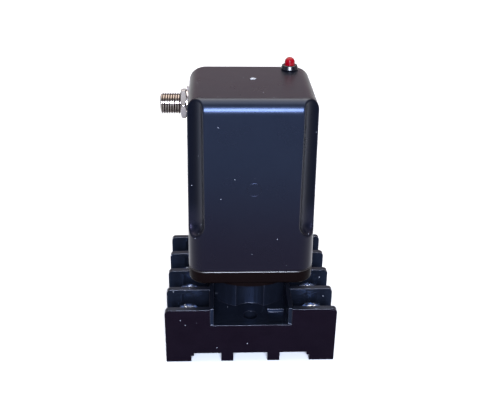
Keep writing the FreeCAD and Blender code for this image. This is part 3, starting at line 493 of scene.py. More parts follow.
def refined(node: str, edge_mm: float, smooth_below: float = 32.0,
            bold: Sequence[tuple[float, float]] = ()) -> bpy.types.Mesh:
    """Copy a CAD node's mesh with its triangles merged and its sharp edges softened.

    Args:
        node: the CAD node.
        edge_mm: width of the softened edge in millimetres.
        smooth_below: edges that turn less than this many degrees stay as they are.
        bold: heights and widths in millimetres; level edges at such a height get that width.

    Returns:
        The copy.
    """
    mesh = bpy.data.meshes.new(f"{node}_refined")
    work = bmesh.new()
    work.from_mesh(frame["nodes"][node].data)
    bmesh.ops.remove_doubles(work, verts=work.verts, dist=2e-6)
    bmesh.ops.dissolve_limit(work, angle_limit=math.radians(0.6), verts=work.verts, edges=work.edges)
    work.to_mesh(mesh)
    work.free()
    shade(mesh, smooth_below)
    for face in mesh.polygons:
        face.material_index = 0
    # Two empty slots, for faces and for softened edges; piece_from fills them.
    mesh.materials.append(None)
    mesh.materials.append(None)
    source = add_object(f"{node}_source", mesh)
    for height, width in bold:
        soften_level(source, smooth_below, height, width)
    if edge_mm > 0:
        bevel = source.modifiers.new("edge", "BEVEL")
        bevel.width = edge_mm * MM
        bevel.segments = 2
        bevel.limit_method = "ANGLE"
        bevel.angle_limit = math.radians(smooth_below)
        bevel.harden_normals = True
        bevel.material = 1
        bevel.miter_outer = "MITER_ARC"
    return applied(source, f"{node}_mesh")


def soften_level(source: bpy.types.Object, smooth_below: float, height: float, width: float) -> None:
    """Round the sharp level edges at one height in the object's own mesh.

    Args:
        source: the object.
        smooth_below: edges that turn less than this many degrees stay as they are.
        height: the level in millimetres.
        width: the width of the rounding in millimetres.
    """
    work = bmesh.new()
    work.from_mesh(source.data)
    chosen = [edge for edge in work.edges
              if all(abs(end.co.z / MM - height) < 0.02 for end in edge.verts)
              and len(edge.link_faces) == 2 and edge.calc_face_angle() > math.radians(smooth_below)
              and max(abs(edge.verts[0].co.x), abs(edge.verts[0].co.y)) > BAND_REACH]
    bmesh.ops.bevel(work, geom=chosen, offset=width * MM, segments=5, profile=0.5, affect="EDGES",
                    clamp_overlap=True, material=1)
    LOG.info("%s: %d level edges at %.1f mm", source.name, len(chosen), height)
    work.to_mesh(source.data)
    work.free()
    shade(source.data, smooth_below)


def body_of(node: str) -> str:
    """Return the name of the body that holds a CAD node."""
    bodies = frame["record"]["behaviour"]["bodies"]
    return next(body for body, nodes in bodies.items() if node in nodes)


def dress(nodes: Sequence[str], finish: Finish, edge_mm: float, edge_finish: Finish | None = None,
          bold: Sequence[tuple[float, float]] = ()) -> None:
    """Replace CAD nodes with copies whose edges are softened.

    Args:
        nodes: the CAD nodes.
        finish: surface of the copies.
        edge_mm: width of the softened edges in millimetres.
        edge_finish: surface of those edges, where it differs.
        bold: heights and widths of level edges that are softened more.
    """
    for node in nodes:
        piece_from(refined(node, edge_mm, bold=bold), f"{node}_skin", finish, body_of(node),
                   [node], [edge_finish] if edge_finish else [])


def middle(node: str) -> Vector:
    """Return the centre of a CAD node's box."""
    low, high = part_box(node)
    return (low + high) / 2


# ---------------------------------------------------------------- geometry node trees

@dataclass
class GeometryTree:
    """A geometry node tree with named inputs, closed by Realize Instances and Set Material."""

    name: str

    def __post_init__(self) -> None:
        """Make the empty tree and its output."""
        self.group = bpy.data.node_groups.new(self.name, "GeometryNodeTree")
        self.group.interface.new_socket("Geometry", in_out="OUTPUT", socket_type="NodeSocketGeometry")
        self.entry = add_node(self.group, "NodeGroupInput")

    def _input(self, name: str, kind: str) -> bpy.types.NodeSocket:
        """Add a named input of a kind and return the socket that gives it."""
        self.group.interface.new_socket(name, in_out="INPUT", socket_type=f"NodeSocket{kind}")
        return self.entry.outputs[name]

    def number(self, name: str, whole: bool = False) -> bpy.types.NodeSocket:
        """Add a named number input and return the socket that gives it."""
        return self._input(name, "Int" if whole else "Float")

    def vector(self, name: str) -> bpy.types.NodeSocket:
        """Add a named vector input and return the socket that gives it."""
        return self._input(name, "Vector")

    def stock(self, name: str) -> bpy.types.NodeSocket:
        """Add a named object input and return its geometry."""
        info = add_node(self.group, "GeometryNodeObjectInfo", {}, {"Object": self._input(name, "Object")})
        return info.outputs["Geometry"]

    def ridge(self) -> bpy.types.NodeSocket:
        """Wind a section along +Z from named inputs and return the mesh; a corner points outwards."""
        coil = add_node(self.group, "GeometryNodeCurveSpiral", {}, {
            "Resolution": self.number("Steps", whole=True), "Rotations": self.number("Turns"),
            "Start Radius": self.number("Radius"), "End Radius": self.entry.outputs["Radius"],
            "Height": self.number("Length")})
        upright = add_node(self.group, "GeometryNodeSetCurveNormal", {"mode": "Z_UP"},
                           {"Curve": coil.outputs["Curve"]})
        section = add_node(self.group, "GeometryNodeCurvePrimitiveCircle", {},
                           {"Resolution": self.number("Sides", whole=True), "Radius": self.number("Ridge")})
        turned = add_node(self.group, "GeometryNodeTransform", {"Rotation": (0.0, 0.0, math.pi)},
                          {"Geometry": section.outputs["Curve"]})
        wound = add_node(self.group, "GeometryNodeCurveToMesh", {"Fill Caps": True},
                         {"Curve": upright.outputs["Curve"], "Profile Curve": turned.outputs["Geometry"]})
        return wound.outputs["Mesh"]

    def close(self, geometry: bpy.types.NodeSocket, finish: Finish) -> None:
        """Realize the instances, set the material and link the output.

        Args:
            geometry: what the tree has made.
            finish: its surface.
        """
        real = add_node(self.group, "GeometryNodeRealizeInstances", {}, {"Geometry": geometry})
        dressed = add_node(self.group, "GeometryNodeSetMaterial", {"Material": finish.material()},
                           {"Geometry": real.outputs["Geometry"]})
        out = add_node(self.group, "NodeGroupOutput")
        self.group.links.new(dressed.outputs["Geometry"], out.inputs["Geometry"])

    def mesh(self, name: str, values: dict) -> bpy.types.Mesh:
        """Run the tree once.

        Args:
            name: the new mesh's name.
            values: input name to value.

        Returns:
            The plain mesh that the tree makes.
        """
        holder = add_object(f"{name}_maker", bpy.data.meshes.new(f"{name}_empty"))
        modifier = holder.modifiers.new("maker", "NODES")
        modifier.node_group = self.group
        for socket in self.group.interface.items_tree:
            if socket.in_out == "INPUT" and socket.name in values:
                modifier[socket.identifier] = values[socket.name]
        made = applied(holder, name)
        shade(made, 38)
        return made


def helix_tree(name: str, finish: Finish) -> GeometryTree:
    """A ridge that winds along +Z: a screw thread's crest or a spring's wire.

    Args:
        name: the tree's name.
        finish: the surface of the ridge.

    Returns:
        The tree.
    """
    tree = GeometryTree(name)
    turned = add_node(tree.group, "GeometryNodeTransform", {},
                      {"Geometry": tree.ridge(), "Rotation": tree.vector("Turn"),
                       "Translation": tree.vector("Place")})
    tree.close(turned.outputs["Geometry"], finish)
    return tree


def ring_tree(name: str, finish: Finish) -> GeometryTree:
    """Copies of one stock piece, evenly spaced about an axis.

    Args:
        name: the tree's name.
        finish: the surface of the copies.

    Returns:
        The tree.
    """
    tree = GeometryTree(name)
    stock = tree.stock("Stock")
    spots = add_node(tree.group, "GeometryNodeMeshLine", {"Offset": (0, 0, 0)},
                     {"Count": tree.number("Count", whole=True)})
    index = add_node(tree.group, "GeometryNodeInputIndex")
    step = calculate(tree.group, "MULTIPLY", index.outputs["Index"], tree.number("Step"))
    spin = add_node(tree.group, "ShaderNodeVectorMath", {"operation": "SCALE"},
                    {0: tree.vector("Axis"), 3: step})
    copies = add_node(tree.group, "GeometryNodeInstanceOnPoints", {},
                      {"Points": spots.outputs["Mesh"], "Instance": stock, "Rotation": spin.outputs[0]})
    moved = add_node(tree.group, "GeometryNodeTransform", {},
                     {"Geometry": copies.outputs["Instances"], "Translation": tree.vector("Place")})
    tree.close(moved.outputs["Geometry"], finish)
    return tree


# ---------------------------------------------------------------- module

@dataclass
class Cover:
    """Tall square cover: four corner flutes end in a ball, the top edge is rounded, the walls lean in.

    Its surface is the zero of a distance formula, found along rays from its middle. Sizes are in
    millimetres.
    """

    half: float = 18.0
    corner: float = 5.0
    lean: float = math.tan(math.radians(0.57))
    bottom: float = 28.7
    rim_round: float = 0.35
    top: float = 79.4
    top_round: float = 3.6
    flute: float = 4.3
    flute_axis: float = 17.65
    flute_end: float = 43.4
    flute_edge: float = 0.45
    wall: float = 1.6
    ray_height: float = 66.0

    def distance(self, points: np.ndarray, inset: float) -> np.ndarray:
        """Return the signed distance of points, in millimetres, from the surface set in by inset.

        Args:
            points: places in millimetres.
            inset: how far inside the outer surface, in millimetres.

        Returns:
            One distance per point, negative inside.
        """
        across = np.abs(points[:, :2])
        height = points[:, 2]
        corner = max(self.corner - inset, 1.0)
        half = self.half - inset - (height - self.bottom) * self.lean
        reach = across - (half - corner)[:, None]
        side = np.linalg.norm(np.maximum(reach, 0), axis=1) + np.minimum(reach.max(axis=1), 0) - corner
        lid = height - (self.top - inset)
        shell = self.meet(side, lid, max(self.top_round - inset, 0.8))
        axis = np.column_stack((across - self.flute_axis, np.minimum(height - self.flute_end, 0)))
        groove = self.flute + inset - np.linalg.norm(axis, axis=1)
        return self.meet(shell, groove, self.flute_edge)

    @staticmethod
    def meet(first: np.ndarray, second: np.ndarray, radius: float) -> np.ndarray:
        """Intersect two distances with an edge of the given radius."""
        inner = np.minimum(np.maximum(first, second), -radius)
        return inner + np.hypot(np.maximum(first + radius, 0), np.maximum(second + radius, 0))

    def surface(self, starts: np.ndarray, rays: np.ndarray, inset: float) -> np.ndarray:
        """Follow rays from inside until they meet the surface, by halving.

        Args:
            starts: points inside.
            rays: unit directions.
            inset: how far inside the outer surface, in millimetres.

        Returns:
            The points on the surface.
        """
        near = np.zeros(len(starts))
        far = np.full(len(starts), 45.0)
        for _ in range(32):
            mid = (near + far) / 2
            inside = self.distance(starts + rays * mid[:, None], inset) < 0
            near = np.where(inside, mid, near)
            far = np.where(inside, far, mid)
        return starts + rays * near[:, None]

    def columns(self, height: float) -> np.ndarray:
        """Return level directions of the upright rows, so that each flute's edge stays on one of them.

        Args:
            height: the level in millimetres; the walls lean, so the directions change with it.

        Returns:
            Unit vectors without a Z part, once round the cover.
        """
        half = self.half - (height - self.bottom) * self.lean
        edge = self.flute_axis - self.flute
        flat = np.linspace(0, edge - 0.75, 8, endpoint=False)
        lip = np.linspace(edge - 0.75, edge + 0.85, 17, endpoint=False)
        hollow = np.linspace(edge + 0.85, half, 9, endpoint=False)
        side = np.concatenate((flat, lip, hollow))
        before = np.column_stack((np.full(len(side), half), side))
        after = before[:0:-1, ::-1]
        quarter = np.concatenate((before, [[half, half]], after))
        spins = [np.array([[math.cos(a), math.sin(a)], [-math.sin(a), math.cos(a)]])
                 for a in (0, math.pi / 2, math.pi, 3 * math.pi / 2)]
        whole = np.concatenate([quarter @ spin for spin in spins])
        whole /= np.linalg.norm(whole, axis=1)[:, None]
        return np.column_stack((whole, np.zeros(len(whole))))

    def rows(self, inset: float) -> tuple[np.ndarray, np.ndarray]:
        """Return heights of the side rows, and elevations of the rows that close the top.

        Args:
            inset: how far inside the outer surface, in millimetres.

        Returns:
            Heights in millimetres and elevations in radians.
        """
        ball = self.flute_end - self.flute - inset
        heights = np.concatenate((
            [self.bottom + 0.5], np.linspace(self.bottom + 1.5, ball - 1.2, 4),
            np.linspace(ball - 0.9, self.flute_end + 0.6, 30), np.linspace(46, self.ray_height, 6)))
        rises = np.radians(np.concatenate((
            np.linspace(3, 19, 5, endpoint=False), np.linspace(19, 46, 68, endpoint=False),
            np.linspace(46, 86, 9))))
        return heights, rises

    def shell(self, inset: float) -> tuple[np.ndarray, np.ndarray]:
        """Return the points of one side of the wall, row by row from the bottom, and the top's pole.

        Args:
            inset: how far inside the outer surface, in millimetres.

        Returns:
            The rows of points and the pole.
        """
        heights, rises = self.rows(inset)
        rows = []
        for angle in np.radians([90, 67, 45, 22, 0]):
            tuck = 0.0 if inset else self.rim_round * (1 - math.cos(angle))
            rows.append(self.ring(self.bottom + self.rim_round * (1 - math.sin(angle)), inset + tuck))
        rows += [self.ring(height, inset) for height in heights]
        crown = self.columns(73.0)
        start = np.tile([0, 0, self.ray_height], (len(crown), 1))
        for rise in rises:
            ray = crown * math.cos(rise) + np.array([0, 0, math.sin(rise)])
            rows.append(self.surface(start, ray, inset))
        return np.array(rows), np.array([0, 0, self.top - inset])

    def ring(self, height: float, inset: float) -> np.ndarray:
        """Return one level row of the wall, set in by inset."""
        rays = self.columns(height)
        return self.surface(np.tile([0, 0, height], (len(rays), 1)), rays, inset)

    def normals(self, points: np.ndarray) -> np.ndarray:
        """Return the outward direction of the outer surface at each point.

        Args:
            points: places in millimetres.

        Returns:
            Unit vectors.
        """
        step = 0.01
        slopes = []
        for axis in range(3):
            offset = np.zeros(3)
            offset[axis] = step
            slopes.append(self.distance(points + offset, 0.0) - self.distance(points - offset, 0.0))
        slope = np.column_stack(slopes)
        return slope / np.maximum(np.linalg.norm(slope, axis=1), 1e-9)[:, None]

    def build(self) -> bpy.types.Mesh:
        """Make the cover as one closed wall, outer side, rim and inner side.

        Returns:
            The mesh.
        """
        outer, outer_pole = self.shell(0.0)
        inner, inner_pole = self.shell(self.wall)
        count = outer.shape[1]
        order = np.concatenate((outer[::-1], inner))
        points = np.vstack((order.reshape(-1, 3), outer_pole, inner_pole))
        faces = []
        for row in range(len(order) - 1):
            for k in range(count):
                after = (k + 1) % count
                faces.append((row * count + k, row * count + after, (row + 1) * count + after,
                              (row + 1) * count + k))
        poles = ((0, len(points) - 2), ((len(order) - 1) * count, len(points) - 1))
        for first, pole in poles:
            faces.extend((first + k, first + (k + 1) % count, pole) for k in range(count))
        mesh = mesh_from("cover_shell", points * MM, faces)
        self.polish(mesh)
        return mesh

    def polish(self, mesh: bpy.types.Mesh) -> None:
        """Set the outer side's normals from the formula, so that reflections run clean.

        Args:
            mesh: the cover's mesh.
        """
        places = np.array([v.co for v in mesh.vertices]) / MM
        natural = np.array([v.normal for v in mesh.vertices])
        on_outside = np.abs(self.distance(places, 0.0)) < 0.02
        above_rim = places[:, 2] > self.bottom + self.rim_round - 0.01
        exact = self.normals(places)
        chosen = np.where((on_outside & above_rim)[:, None], exact, natural)
        mesh.normals_split_custom_set_from_vertices([tuple(n) for n in chosen])

    def dress(self) -> None:
        """Add the cover, its gate scar and its ejector mark."""
        piece_from(self.build(), "cover_shell", COVER_ABS, "module", ["cover"])
        self.gate_scar()
        self.ejector_mark()

    def gate_scar(self) -> None:
        """Add the small torn nub that the mould's gate leaves on the top."""
        rim = [0.95 + 0.22 * math.sin(2.3 * k) + 0.13 * math.sin(5.1 * k) for k in range(14)]
        points, faces = [], []
        centre = Vector((0.6 * MM, 2.7 * MM, self.top * MM))
        layers = ((1.0, -0.05), (0.92, 0.05), (0.62, 0.12), (0.3, 0.07))
        for share, height in layers:
            for k, radius in enumerate(rim):
                angle = 2 * math.pi * k / len(rim)
                lift = height + 0.03 * math.sin(3.7 * k) * (height > 0)
                points.append(centre + Vector((radius * share * math.cos(angle),
                                               radius * share * 0.8 * math.sin(angle), lift)) * MM)
        count = len(rim)
        for layer in range(len(layers) - 1):
            for k in range(count):
                here, after = layer * count + k, layer * count + (k + 1) % count
                faces.append((here, after, after + count, here + count))
        faces.append(tuple(range(count)))
        faces.append(tuple(range((len(layers) - 1) * count, len(layers) * count)))
        piece_from(mesh_from("gate_scar", points, faces), "gate_scar", GATE_SCAR, "module")

    def ejector_mark(self) -> None:
        """Add the faint round witness of a mould pin on the front wall."""
        height = 54.6
        face = -(self.half - (height - self.bottom) * self.lean)
        shape = [(1.74, 0.1), (1.79, -0.04), (1.9, -0.08), (2.01, -0.04), (2.06, 0.1)]
        mesh = lathe("ejector_mark", shape, Vector((0.4 * MM, face * MM, height * MM)), Axis.Y, 72)
        piece_from(mesh, "ejector_mark", COVER_ABS, "module")


@dataclass
class Lamp:
    """Red 3 mm lamp in a black two-part bezel. Sizes are in millimetres."""

    radius: float = 1.5
    dome_height: float = 81.6
    base: float = 75.8
    flange: float = 2.5
    flange_top: float = 80.9
    neck: float = 2.0
    seat: float = 79.4

    def dress(self) -> None:
        """Add the lamp and its bezel."""
        spot = middle("lamp")
        foot = Vector((spot.x, spot.y, 0.0))
        body = [(0.0, self.base - 1.0), (self.radius + 0.4, self.base - 1.0),
                (self.radius + 0.4, self.base), (self.radius, self.base + 0.02)]
        body += arc((0.0, self.dome_height), self.radius, 0, 90, 14)
        mesh = lathe("lamp_body", body, foot, Axis.Z, 48)
        piece_from(mesh, "lamp_body", LAMP_EPOXY, "module", ["lamp"])
        bore = self.radius + 0.05
        ring = [(bore, self.base + 0.3), (self.neck, self.base + 0.3), (self.neck, self.seat + 0.02),
                (self.flange - 0.15, self.seat + 0.02)]
        ring += arc((self.flange - 0.25, self.seat + 0.35), 0.25, -60, 30, 5)
        ring += arc((self.flange - 0.6, self.flange_top - 0.35), 0.35, 15, 90, 6)
        ring += arc((bore + 0.15, self.flange_top - 0.15), 0.15, 90, 180, 3)
        mesh = lathe("bezel_ring", ring, foot, Axis.Z, 56)
        piece_from(mesh, "bezel_ring", BEZEL_NYLON, "module", ["lamp_bezel"])
        dress(["lamp_ring"], BEZEL_NYLON, 0.08)
        dress(["lamp_leads"], TAB_SILVER, 0.0)


@dataclass
class Port:
    """Threaded bulkhead fitting with its nut and toothed washer. Sizes are in millimetres."""

    pitch: float = 0.706
    crest: float = 3.175
    root: float = 2.76
    ridge: float = 0.405
    ridge_inset: float = 0.41
    tip_clearance: float = 0.003
    bore: float = 1.0
    washer_outer: float = 4.9
    washer_inner: float = 3.28
    washer_thick: float = 0.5
    teeth: int = 10

    def dress(self) -> None:
        """Add the fitting, the nut, the washer and the seal."""
        low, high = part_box("port_fitting")
        nut_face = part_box("port_nut")[0].x
        centre = Vector((0.0, middle("port_nut").y, middle("port_nut").z))
        self.fitting(centre, low.x / MM, high.x / MM, nut_face / MM)
        dress(["port_nut"], NUT_NICKEL, 0.09)
        self.washer(centre)
        dress(["port_seal"], SEAL_NITRILE, 0.05)

    def fitting(self, centre: Vector, tip: float, end: float, nut: float) -> None:
        """Add the turned body and the thread that winds round it.

        Args:
            centre: a point on the fitting's axis.
            tip: X of the outer end.
            end: X of the inner end.
            nut: X of the nut's outer face.
        """
        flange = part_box("port_seal")[1].x / MM + 0.02
        tip += self.tip_clearance
        profile = [(self.bore, tip), (self.root - 0.3, tip), (self.root, tip + 0.3), (self.root, nut + 1.7),
                   (self.crest - 0.05, nut + 1.75), (self.crest - 0.05, flange)]
        profile += [(3.75, flange), (3.8, flange + 0.1), (3.8, flange + 2.1), (3.7, flange + 2.2),
                    (1.2, flange + 2.2), (1.2, end - 3.0), (1.5, end - 3.0), (1.15, end - 1.6),
                    (1.2, end - 1.4), (1.5, end - 1.4), (1.15, end), (self.bore, end)]
        body = lathe("port_body", profile, centre, Axis.X, 96)
        tree = helix_tree("thread_crest", PORT_NICKEL)
        length = nut - tip + 0.9
        ridge = tree.mesh("port_thread", {
            "Steps": 48, "Turns": length / self.pitch, "Radius": (self.crest - self.ridge_inset) * MM,
            "Length": length * MM, "Sides": 3, "Ridge": self.ridge * MM,
            "Turn": (0.0, math.pi / 2, 0.0), "Place": (tip * MM + 0.35 * MM, centre.y, centre.z)})
        ridge.set_sharp_from_angle(angle=math.radians(30))
        join_into(body, ridge)
        body.set_sharp_from_angle(angle=math.radians(30))
        piece_from(body, "port_body", PORT_NICKEL, "module", ["port_fitting"])

    def washer(self, centre: Vector) -> None:
        """Add the lock washer: a flat ring with twisted teeth outside.

        Args:
            centre: a point on the port's axis.
        """
        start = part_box("port_lock_washer")[0].x / MM
        thick, inner, outer = self.washer_thick, self.washer_inner, self.washer_outer
        ring = [(inner, start), (outer - 0.95, start), (outer - 0.9, start + 0.05),
                (outer - 0.9, start + thick - 0.05), (outer - 0.95, start + thick), (inner, start + thick)]
        body = lathe("washer_ring", ring, centre, Axis.X, 72)
        tooth = bmesh.new()
        bmesh.ops.create_cube(tooth, size=1.0)
        length, width = 1.25, 1.75
        for corner in tooth.verts:
            x, y, z = corner.co
            reach = outer - 1.1 + (z + 0.5) * length
            twist = math.radians(20) * (z + 0.5)
            across, deep = y * width * (1 - 0.12 * (z + 0.5)), x * thick * 0.8
            corner.co = Vector((deep * math.cos(twist) - across * math.sin(twist) * 0.55,
                                across * math.cos(twist), min(reach, outer))) * MM
        bmesh.ops.bevel(tooth, geom=tooth.edges[:], offset=0.07 * MM, segments=2, affect="EDGES")
        mesh = bpy.data.meshes.new("washer_tooth")
        tooth.to_mesh(mesh)
        tooth.free()
        stock = add_object("washer_tooth", mesh)
        tree = ring_tree("washer_teeth", NUT_NICKEL)
        teeth = tree.mesh("washer_teeth", {
            "Stock": stock, "Count": self.teeth, "Step": 2 * math.pi / self.teeth, "Axis": (1.0, 0.0, 0.0),
            "Place": ((start + thick / 2) * MM, centre.y, centre.z)})
        bpy.data.objects.remove(stock)
        join_into(body, teeth)
        piece_from(body, "lock_washer", NUT_NICKEL, "module", ["port_lock_washer"])


@dataclass
class Header:
    """Plug header: the dark band under the cover, its round foot, keyed post and eight pins."""

    pin: float = 1.18
    circle: float = 8.725
    tip: float = 11.6
    head: float = 31.0

    def dress(self) -> None:
        """Add the header and the ring of pins."""
        # The header's softened edges get the paler, glossier copy: a painted sheen along them.
        dress(["plug_header"], HEADER_ABS, 0.1, HEADER_EDGE_SHEEN, ((24.4, 0.9), (28.6, 0.3)))
        r = self.pin
        profile = [(0.0, self.tip)] + arc((0.0, self.tip + 0.9), 0.9, -90, -20, 6)
        profile += [(r, self.tip + 1.3), (r, self.head - 0.2), (r - 0.2, self.head), (0.0, self.head)]
        spot = Vector((self.circle * MM * math.cos(math.radians(22.5)),
                       self.circle * MM * math.sin(math.radians(22.5)), 0.0))
        stock = add_object("plug_pin", lathe("plug_pin", profile, spot, Axis.Z, 28))
        tree = ring_tree("plug_pin_ring", PIN_NICKEL)
        pins = tree.mesh("plug_pins", {"Stock": stock, "Count": 8, "Step": math.pi / 4,
                                       "Axis": (0.0, 0.0, 1.0), "Place": (0.0, 0.0, 0.0)})
        bpy.data.objects.remove(stock)
        piece_from(pins, "plug_pin_ring", PIN_NICKEL, "module", ["plug_pins"])


@dataclass
class Mechanism:
    """What the cover hides: pressure capsule, pusher, spring, snap switch, board and wiring."""

    wire: float = 0.25
    coil: float = 2.9
    turns: float = 4.4
    spring_low: float = 45.05
    spring_high: float = 51.15

    def dress(self) -> None:
        """Dress every hidden piece and wind the spring."""
        for nodes, finish, edge_mm in (
                (("capsule_top", "capsule_base"), CAPSULE_ALUMINIUM, 0.12),
                (("capsule_screws", "switch_screws", "bracket_screws"), SMALL_SCREW, 0.08),
                (("diaphragm",), SEAL_NITRILE, 0.0), (("pusher",), ACETAL, 0.08),
                (("switch_button",), ACETAL, 0.04), (("switch_case",), SWITCH_CASE, 0.1),
                (("switch_lever", "lever_pin"), SPRING_STEEL, 0.03), (("switch_tabs",), TAB_SILVER, 0.05),
                (("switch_bracket",), BRACKET_STEEL, 0.1), (("circuit_board",), BOARD, 0.05),
                (("resistor",), RESISTOR_LACQUER, 0.0), (("hookup_wires",), WIRE_PVC, 0.0),
                (("pressure_tube",), TUBE_SILICONE, 0.0)):
            dress(nodes, finish, edge_mm)
        self.spring()

    def spring(self) -> None:
        """Wind the return spring and give its piece a mesh of its own."""
        tree = helix_tree("spring_wire", SPRING_STEEL)
        spot = middle("pusher")
        height = self.spring_high - self.spring_low - 2 * self.wire
        coil = tree.mesh("return_spring", {
            "Steps": 36, "Turns": self.turns, "Radius": self.coil * MM, "Length": height * MM, "Sides": 10,
            "Ridge": self.wire * MM, "Turn": (0.0, 0.0, 0.0),
            "Place": (spot.x, spot.y, (self.spring_low + self.wire) * MM)})
        piece = piece_from(coil, "return_spring", SPRING_STEEL, "module", ["return_spring"])
        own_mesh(piece)


# ---------------------------------------------------------------- socket

@dataclass
class Socket:
    """Socket moulding with its bottom plate and the eight contact strips."""

    edge: float = 0.25

    def dress(self) -> None:
        """Dress the moulding, the plate and the strips."""
        mesh = refined("socket_body", self.edge)
        low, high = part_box("socket_body")
        for face in mesh.polygons:
            outside = min(face.center.x - low.x, face.center.y - low.y, high.x - face.center.x,
                          high.y - face.center.y) < 0.02 * MM
            if outside and not face.material_index:
                face.material_index = 2
        # Softened edges get the paler, glossier copy, a painted sheen along them; outer walls get their own
        # finish.
        piece_from(mesh, "socket_moulding", SOCKET_PBT, "socket",
                   ["socket_body"], (SOCKET_EDGE_SHEEN, SOCKET_SKIN))
        dress(["bottom_plate"], SOCKET_PBT, 0.1)
        dress([f"contact_{n}" for n in range(1, 9)], STRIP_TIN, 0.08)


@dataclass
class Terminals:
    """Eight terminal screws and the clamp plates under them. Sizes are in millimetres."""

    head: float = 3.2
    seat: float = 12.4
    top: float = 14.9
    shank: float = 1.45
    tip: float = 6.4
    pitch: float = 0.5

    def head_mesh(self) -> bpy.types.Mesh:
        """Turn the pan head and cut the cross recess and the driver slot into it.

        Returns:
            The mesh of the head.
        """
        low, high = self.seat, self.top
        profile = [(0.0, low)] + arc((self.head - 0.25, low + 0.25), 0.25, -90, 0, 4)
        profile += arc((self.head - 0.9, high - 1.05), 0.9, 0, 62, 7) + [(1.6, high - 0.08), (0.0, high)]
        head = add_object("screw_head", lathe("screw_head", profile, Vector(), Axis.Z, 48))
        cutter = bmesh.new()
        for angle, half_length, half_width, depth in (
                (0, 4.0, 0.42, 0.7), (90, 2.0, 0.42, 1.25), (0, 2.0, 0.42, 1.25)):
            blade = bmesh.ops.create_cube(cutter, size=1.0)["verts"]
            for corner in blade:
                narrow = 0.75 if corner.co.z < 0 else 1.0
                corner.co = Vector((corner.co.x * 2 * half_length * (narrow if half_length < 3 else 1),
                                    corner.co.y * 2 * half_width * narrow,
                                    high - depth if corner.co.z < 0 else high + 1)) * MM
            bmesh.ops.rotate(cutter, verts=blade, cent=(0, 0, 0), matrix=Matrix.Rotation(
                math.radians(angle), 3, "Z"))
        mesh = bpy.data.meshes.new("driver_recess")
        cutter.to_mesh(mesh)
        cutter.free()
        tool = add_object("driver_recess", mesh)
        carve = head.modifiers.new("recess", "BOOLEAN")
        carve.operation, carve.object, carve.solver = "DIFFERENCE", tool, "EXACT"
        carve.use_self = True
        bevel = head.modifiers.new("edge", "BEVEL")
        bevel.width, bevel.segments, bevel.limit_method = 0.05 * MM, 2, "ANGLE"
        bevel.angle_limit = math.radians(40)
        made = applied(head, "screw_head")
        bpy.data.objects.remove(tool)
        return made

    def tree(self) -> GeometryTree:
        """Return the tree that joins head and threaded shank and sets them in their hole.

        Returns:
            The tree.
        """
        tree = GeometryTree("terminal_screw")
        head = tree.stock("Head")
        shank = tree.stock("Shank")
        lifted = add_node(tree.group, "GeometryNodeTransform", {},
                          {"Geometry": tree.ridge(), "Translation": tree.vector("Thread Start")})
        whole = add_node(tree.group, "GeometryNodeJoinGeometry")
        for part in (head, shank, lifted.outputs["Geometry"]):
            tree.group.links.new(part, whole.inputs["Geometry"])
        placed = add_node(tree.group, "GeometryNodeTransform", {},
                          {"Geometry": whole.outputs["Geometry"], "Rotation": tree.vector("Turn"),
                           "Translation": tree.vector("Place")})
        tree.close(placed.outputs["Geometry"], SCREW_ZINC)
        return tree

    def dress(self) -> None:
        """Add one screw and one clamp plate per terminal."""
        root = self.shank - 0.25
        profile = [(0.0, self.tip), (root - 0.3, self.tip), (root, self.tip + 0.3), (root, self.seat),
                   (0.0, self.seat)]
        head = add_object("head_stock", self.head_mesh())
        shank = add_object("shank_stock", lathe("screw_shank", profile, Vector(), Axis.Z, 32))
        tree = self.tree()
        for number in range(1, 9):
            node = f"terminal_screw_{number}"
            spot = middle(node)
            angle = math.radians(37 + 53 * number)
            length = self.seat - self.tip - 0.9
            mesh = tree.mesh(node, {
                "Head": head, "Shank": shank, "Steps": 24, "Sides": 3, "Turns": length / self.pitch,
                "Radius": (root + 0.01) * MM, "Length": length * MM, "Ridge": 0.23 * MM,
                "Thread Start": (0, 0, (self.tip + 0.4) * MM),
                "Turn": (0.0, 0.0, angle), "Place": (spot.x, spot.y, 0.0)})
            piece_from(mesh, f"{node}_turned", SCREW_ZINC, f"screw_{number}",
                       [node])
            dress([f"clamp_plate_{number}"], CLAMP_ZINC, 0.14)
        for stock in (head, shank):
            bpy.data.objects.remove(stock)


# ---------------------------------------------------------------- studio

@dataclass
class Softbox:
    """A rectangular light, aimed at a point. Places are in metres."""

    name: str
    place: tuple[float, float, float]
    aim: tuple[float, float, float]
    size: tuple[float, float]
    watts: float
    hue: str = "#ffffff"

    def light(self) -> None:
        """Add the light to the scene."""
        lamp = bpy.data.lights.new(self.name, "AREA")
        lamp.shape = "RECTANGLE"
        lamp.size, lamp.size_y = self.size
        lamp.energy = self.watts
        lamp.color = linear(self.hue)[:3]
        holder = add_object(self.name, lamp)
        holder.location = self.place
        direction = Vector(self.aim) - Vector(self.place)
        holder.rotation_euler = direction.to_track_quat("-Z", "Y").to_euler()


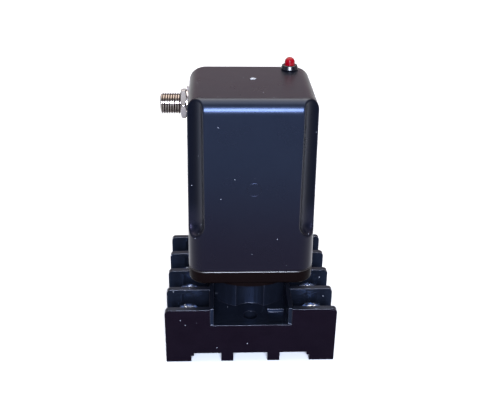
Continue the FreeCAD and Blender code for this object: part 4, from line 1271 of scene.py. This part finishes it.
@dataclass
class Studio:
    """White paper floor, soft lights and the camera. Lengths are in millimetres."""

    camera: tuple[float, float, float] = (-9.53, -198.14, 142.23)
    target: tuple[float, float, float] = (0.213, 0.0, 39.793)
    roll: float = 0.983
    lens: float = 53.28
    floor_half: float = 2500.0

    def build(self) -> None:
        """Set up the floor, the world, the lights and the camera."""
        self.floor()
        self.world()
        for box in (
                Softbox("overhead_softbox", (0.0, 0.5, 1.3), (0.0, 0.1, 0.0), (2.2, 1.6), 60.0, "#fff6ea"),
                Softbox("front_window", (0.0, -1.166, 0.688), (0.0, 0.0, 0.07), (0.66, 0.48), 128.0,
                        "#dfe9ff"),
                Softbox("left_fill", (-0.9, -0.1, 0.4), (0.0, 0.0, 0.05), (0.3, 0.5), 0.7, "#f4f6ff"),
                Softbox("right_fill", (0.9, -0.1, 0.4), (0.0, 0.0, 0.05), (0.3, 0.5), 0.7, "#fff8f2")):
            box.light()
        bpy.context.scene.view_settings.view_transform = "Standard"
        self.eye()

    def floor(self) -> None:
        """Lay the flat paper, just below the feet."""
        side = np.linspace(-self.floor_half, self.floor_half, 41)
        points = [(x * MM, y * MM, -0.0002) for y in side for x in side]
        count = len(side)
        faces = [(r * count + c, r * count + c + 1, (r + 1) * count + c + 1, (r + 1) * count + c)
                 for r in range(count - 1) for c in range(count - 1)]
        mesh = mesh_from("paper", points, faces)
        mesh.materials.append(PAPER_FLOOR.material())
        add_object("paper_floor", mesh)

    def world(self) -> None:
        """Give the room a pale ceiling and horizon, with dimmer walls between them."""
        world = bpy.data.worlds.new("studio_room")
        world.use_nodes = True
        tree = world.node_tree
        place = add_node(tree, "ShaderNodeTexCoord").outputs["Generated"]
        split = add_node(tree, "ShaderNodeSeparateXYZ", {}, {"Vector": place})
        foot, rise, back = (span(tree, split.outputs[part], limits) for part, limits in (
            ("Z", (0.04, 0.1)), ("Z", (0.3, 0.85)), ("Y", (0.2, 0.9))))
        upper = blend(tree, rise, blend(tree, back, "#453f48", "#c6adb3"), "#ffffff")
        mix = blend(tree, foot, "#f6f6f6", upper)
        background = tree.nodes["Background"]
        tree.links.new(mix, background.inputs["Color"])
        background.inputs["Strength"].default_value = 1.0
        bpy.context.scene.world = world

    def eye(self) -> None:
        """Place the camera and make it the scene's own."""
        lens = bpy.data.cameras.new("studio_camera")
        lens.lens = self.lens
        lens.sensor_width = 36.0
        lens.clip_start = 0.01
        holder = add_object("studio_camera", lens)
        place = Vector(self.camera) * MM
        aim = (Vector(self.target) * MM - place).to_track_quat("-Z", "Y").to_matrix()
        spin = Matrix.Rotation(math.radians(self.roll), 3, "Z")
        holder.matrix_world = Matrix.Translation(place) @ (aim @ spin).to_4x4()
        bpy.context.scene.camera = holder


def main() -> None:
    logging.basicConfig(level=logging.INFO, format="%(name)s %(message)s")
    for assembly in (Cover(), Lamp(), Port(), Header(), Mechanism(), Socket(), Terminals()):
        LOG.info("building %s", type(assembly).__name__)
        assembly.dress()
    Studio().build()


if __name__ == "__main__":
    main()
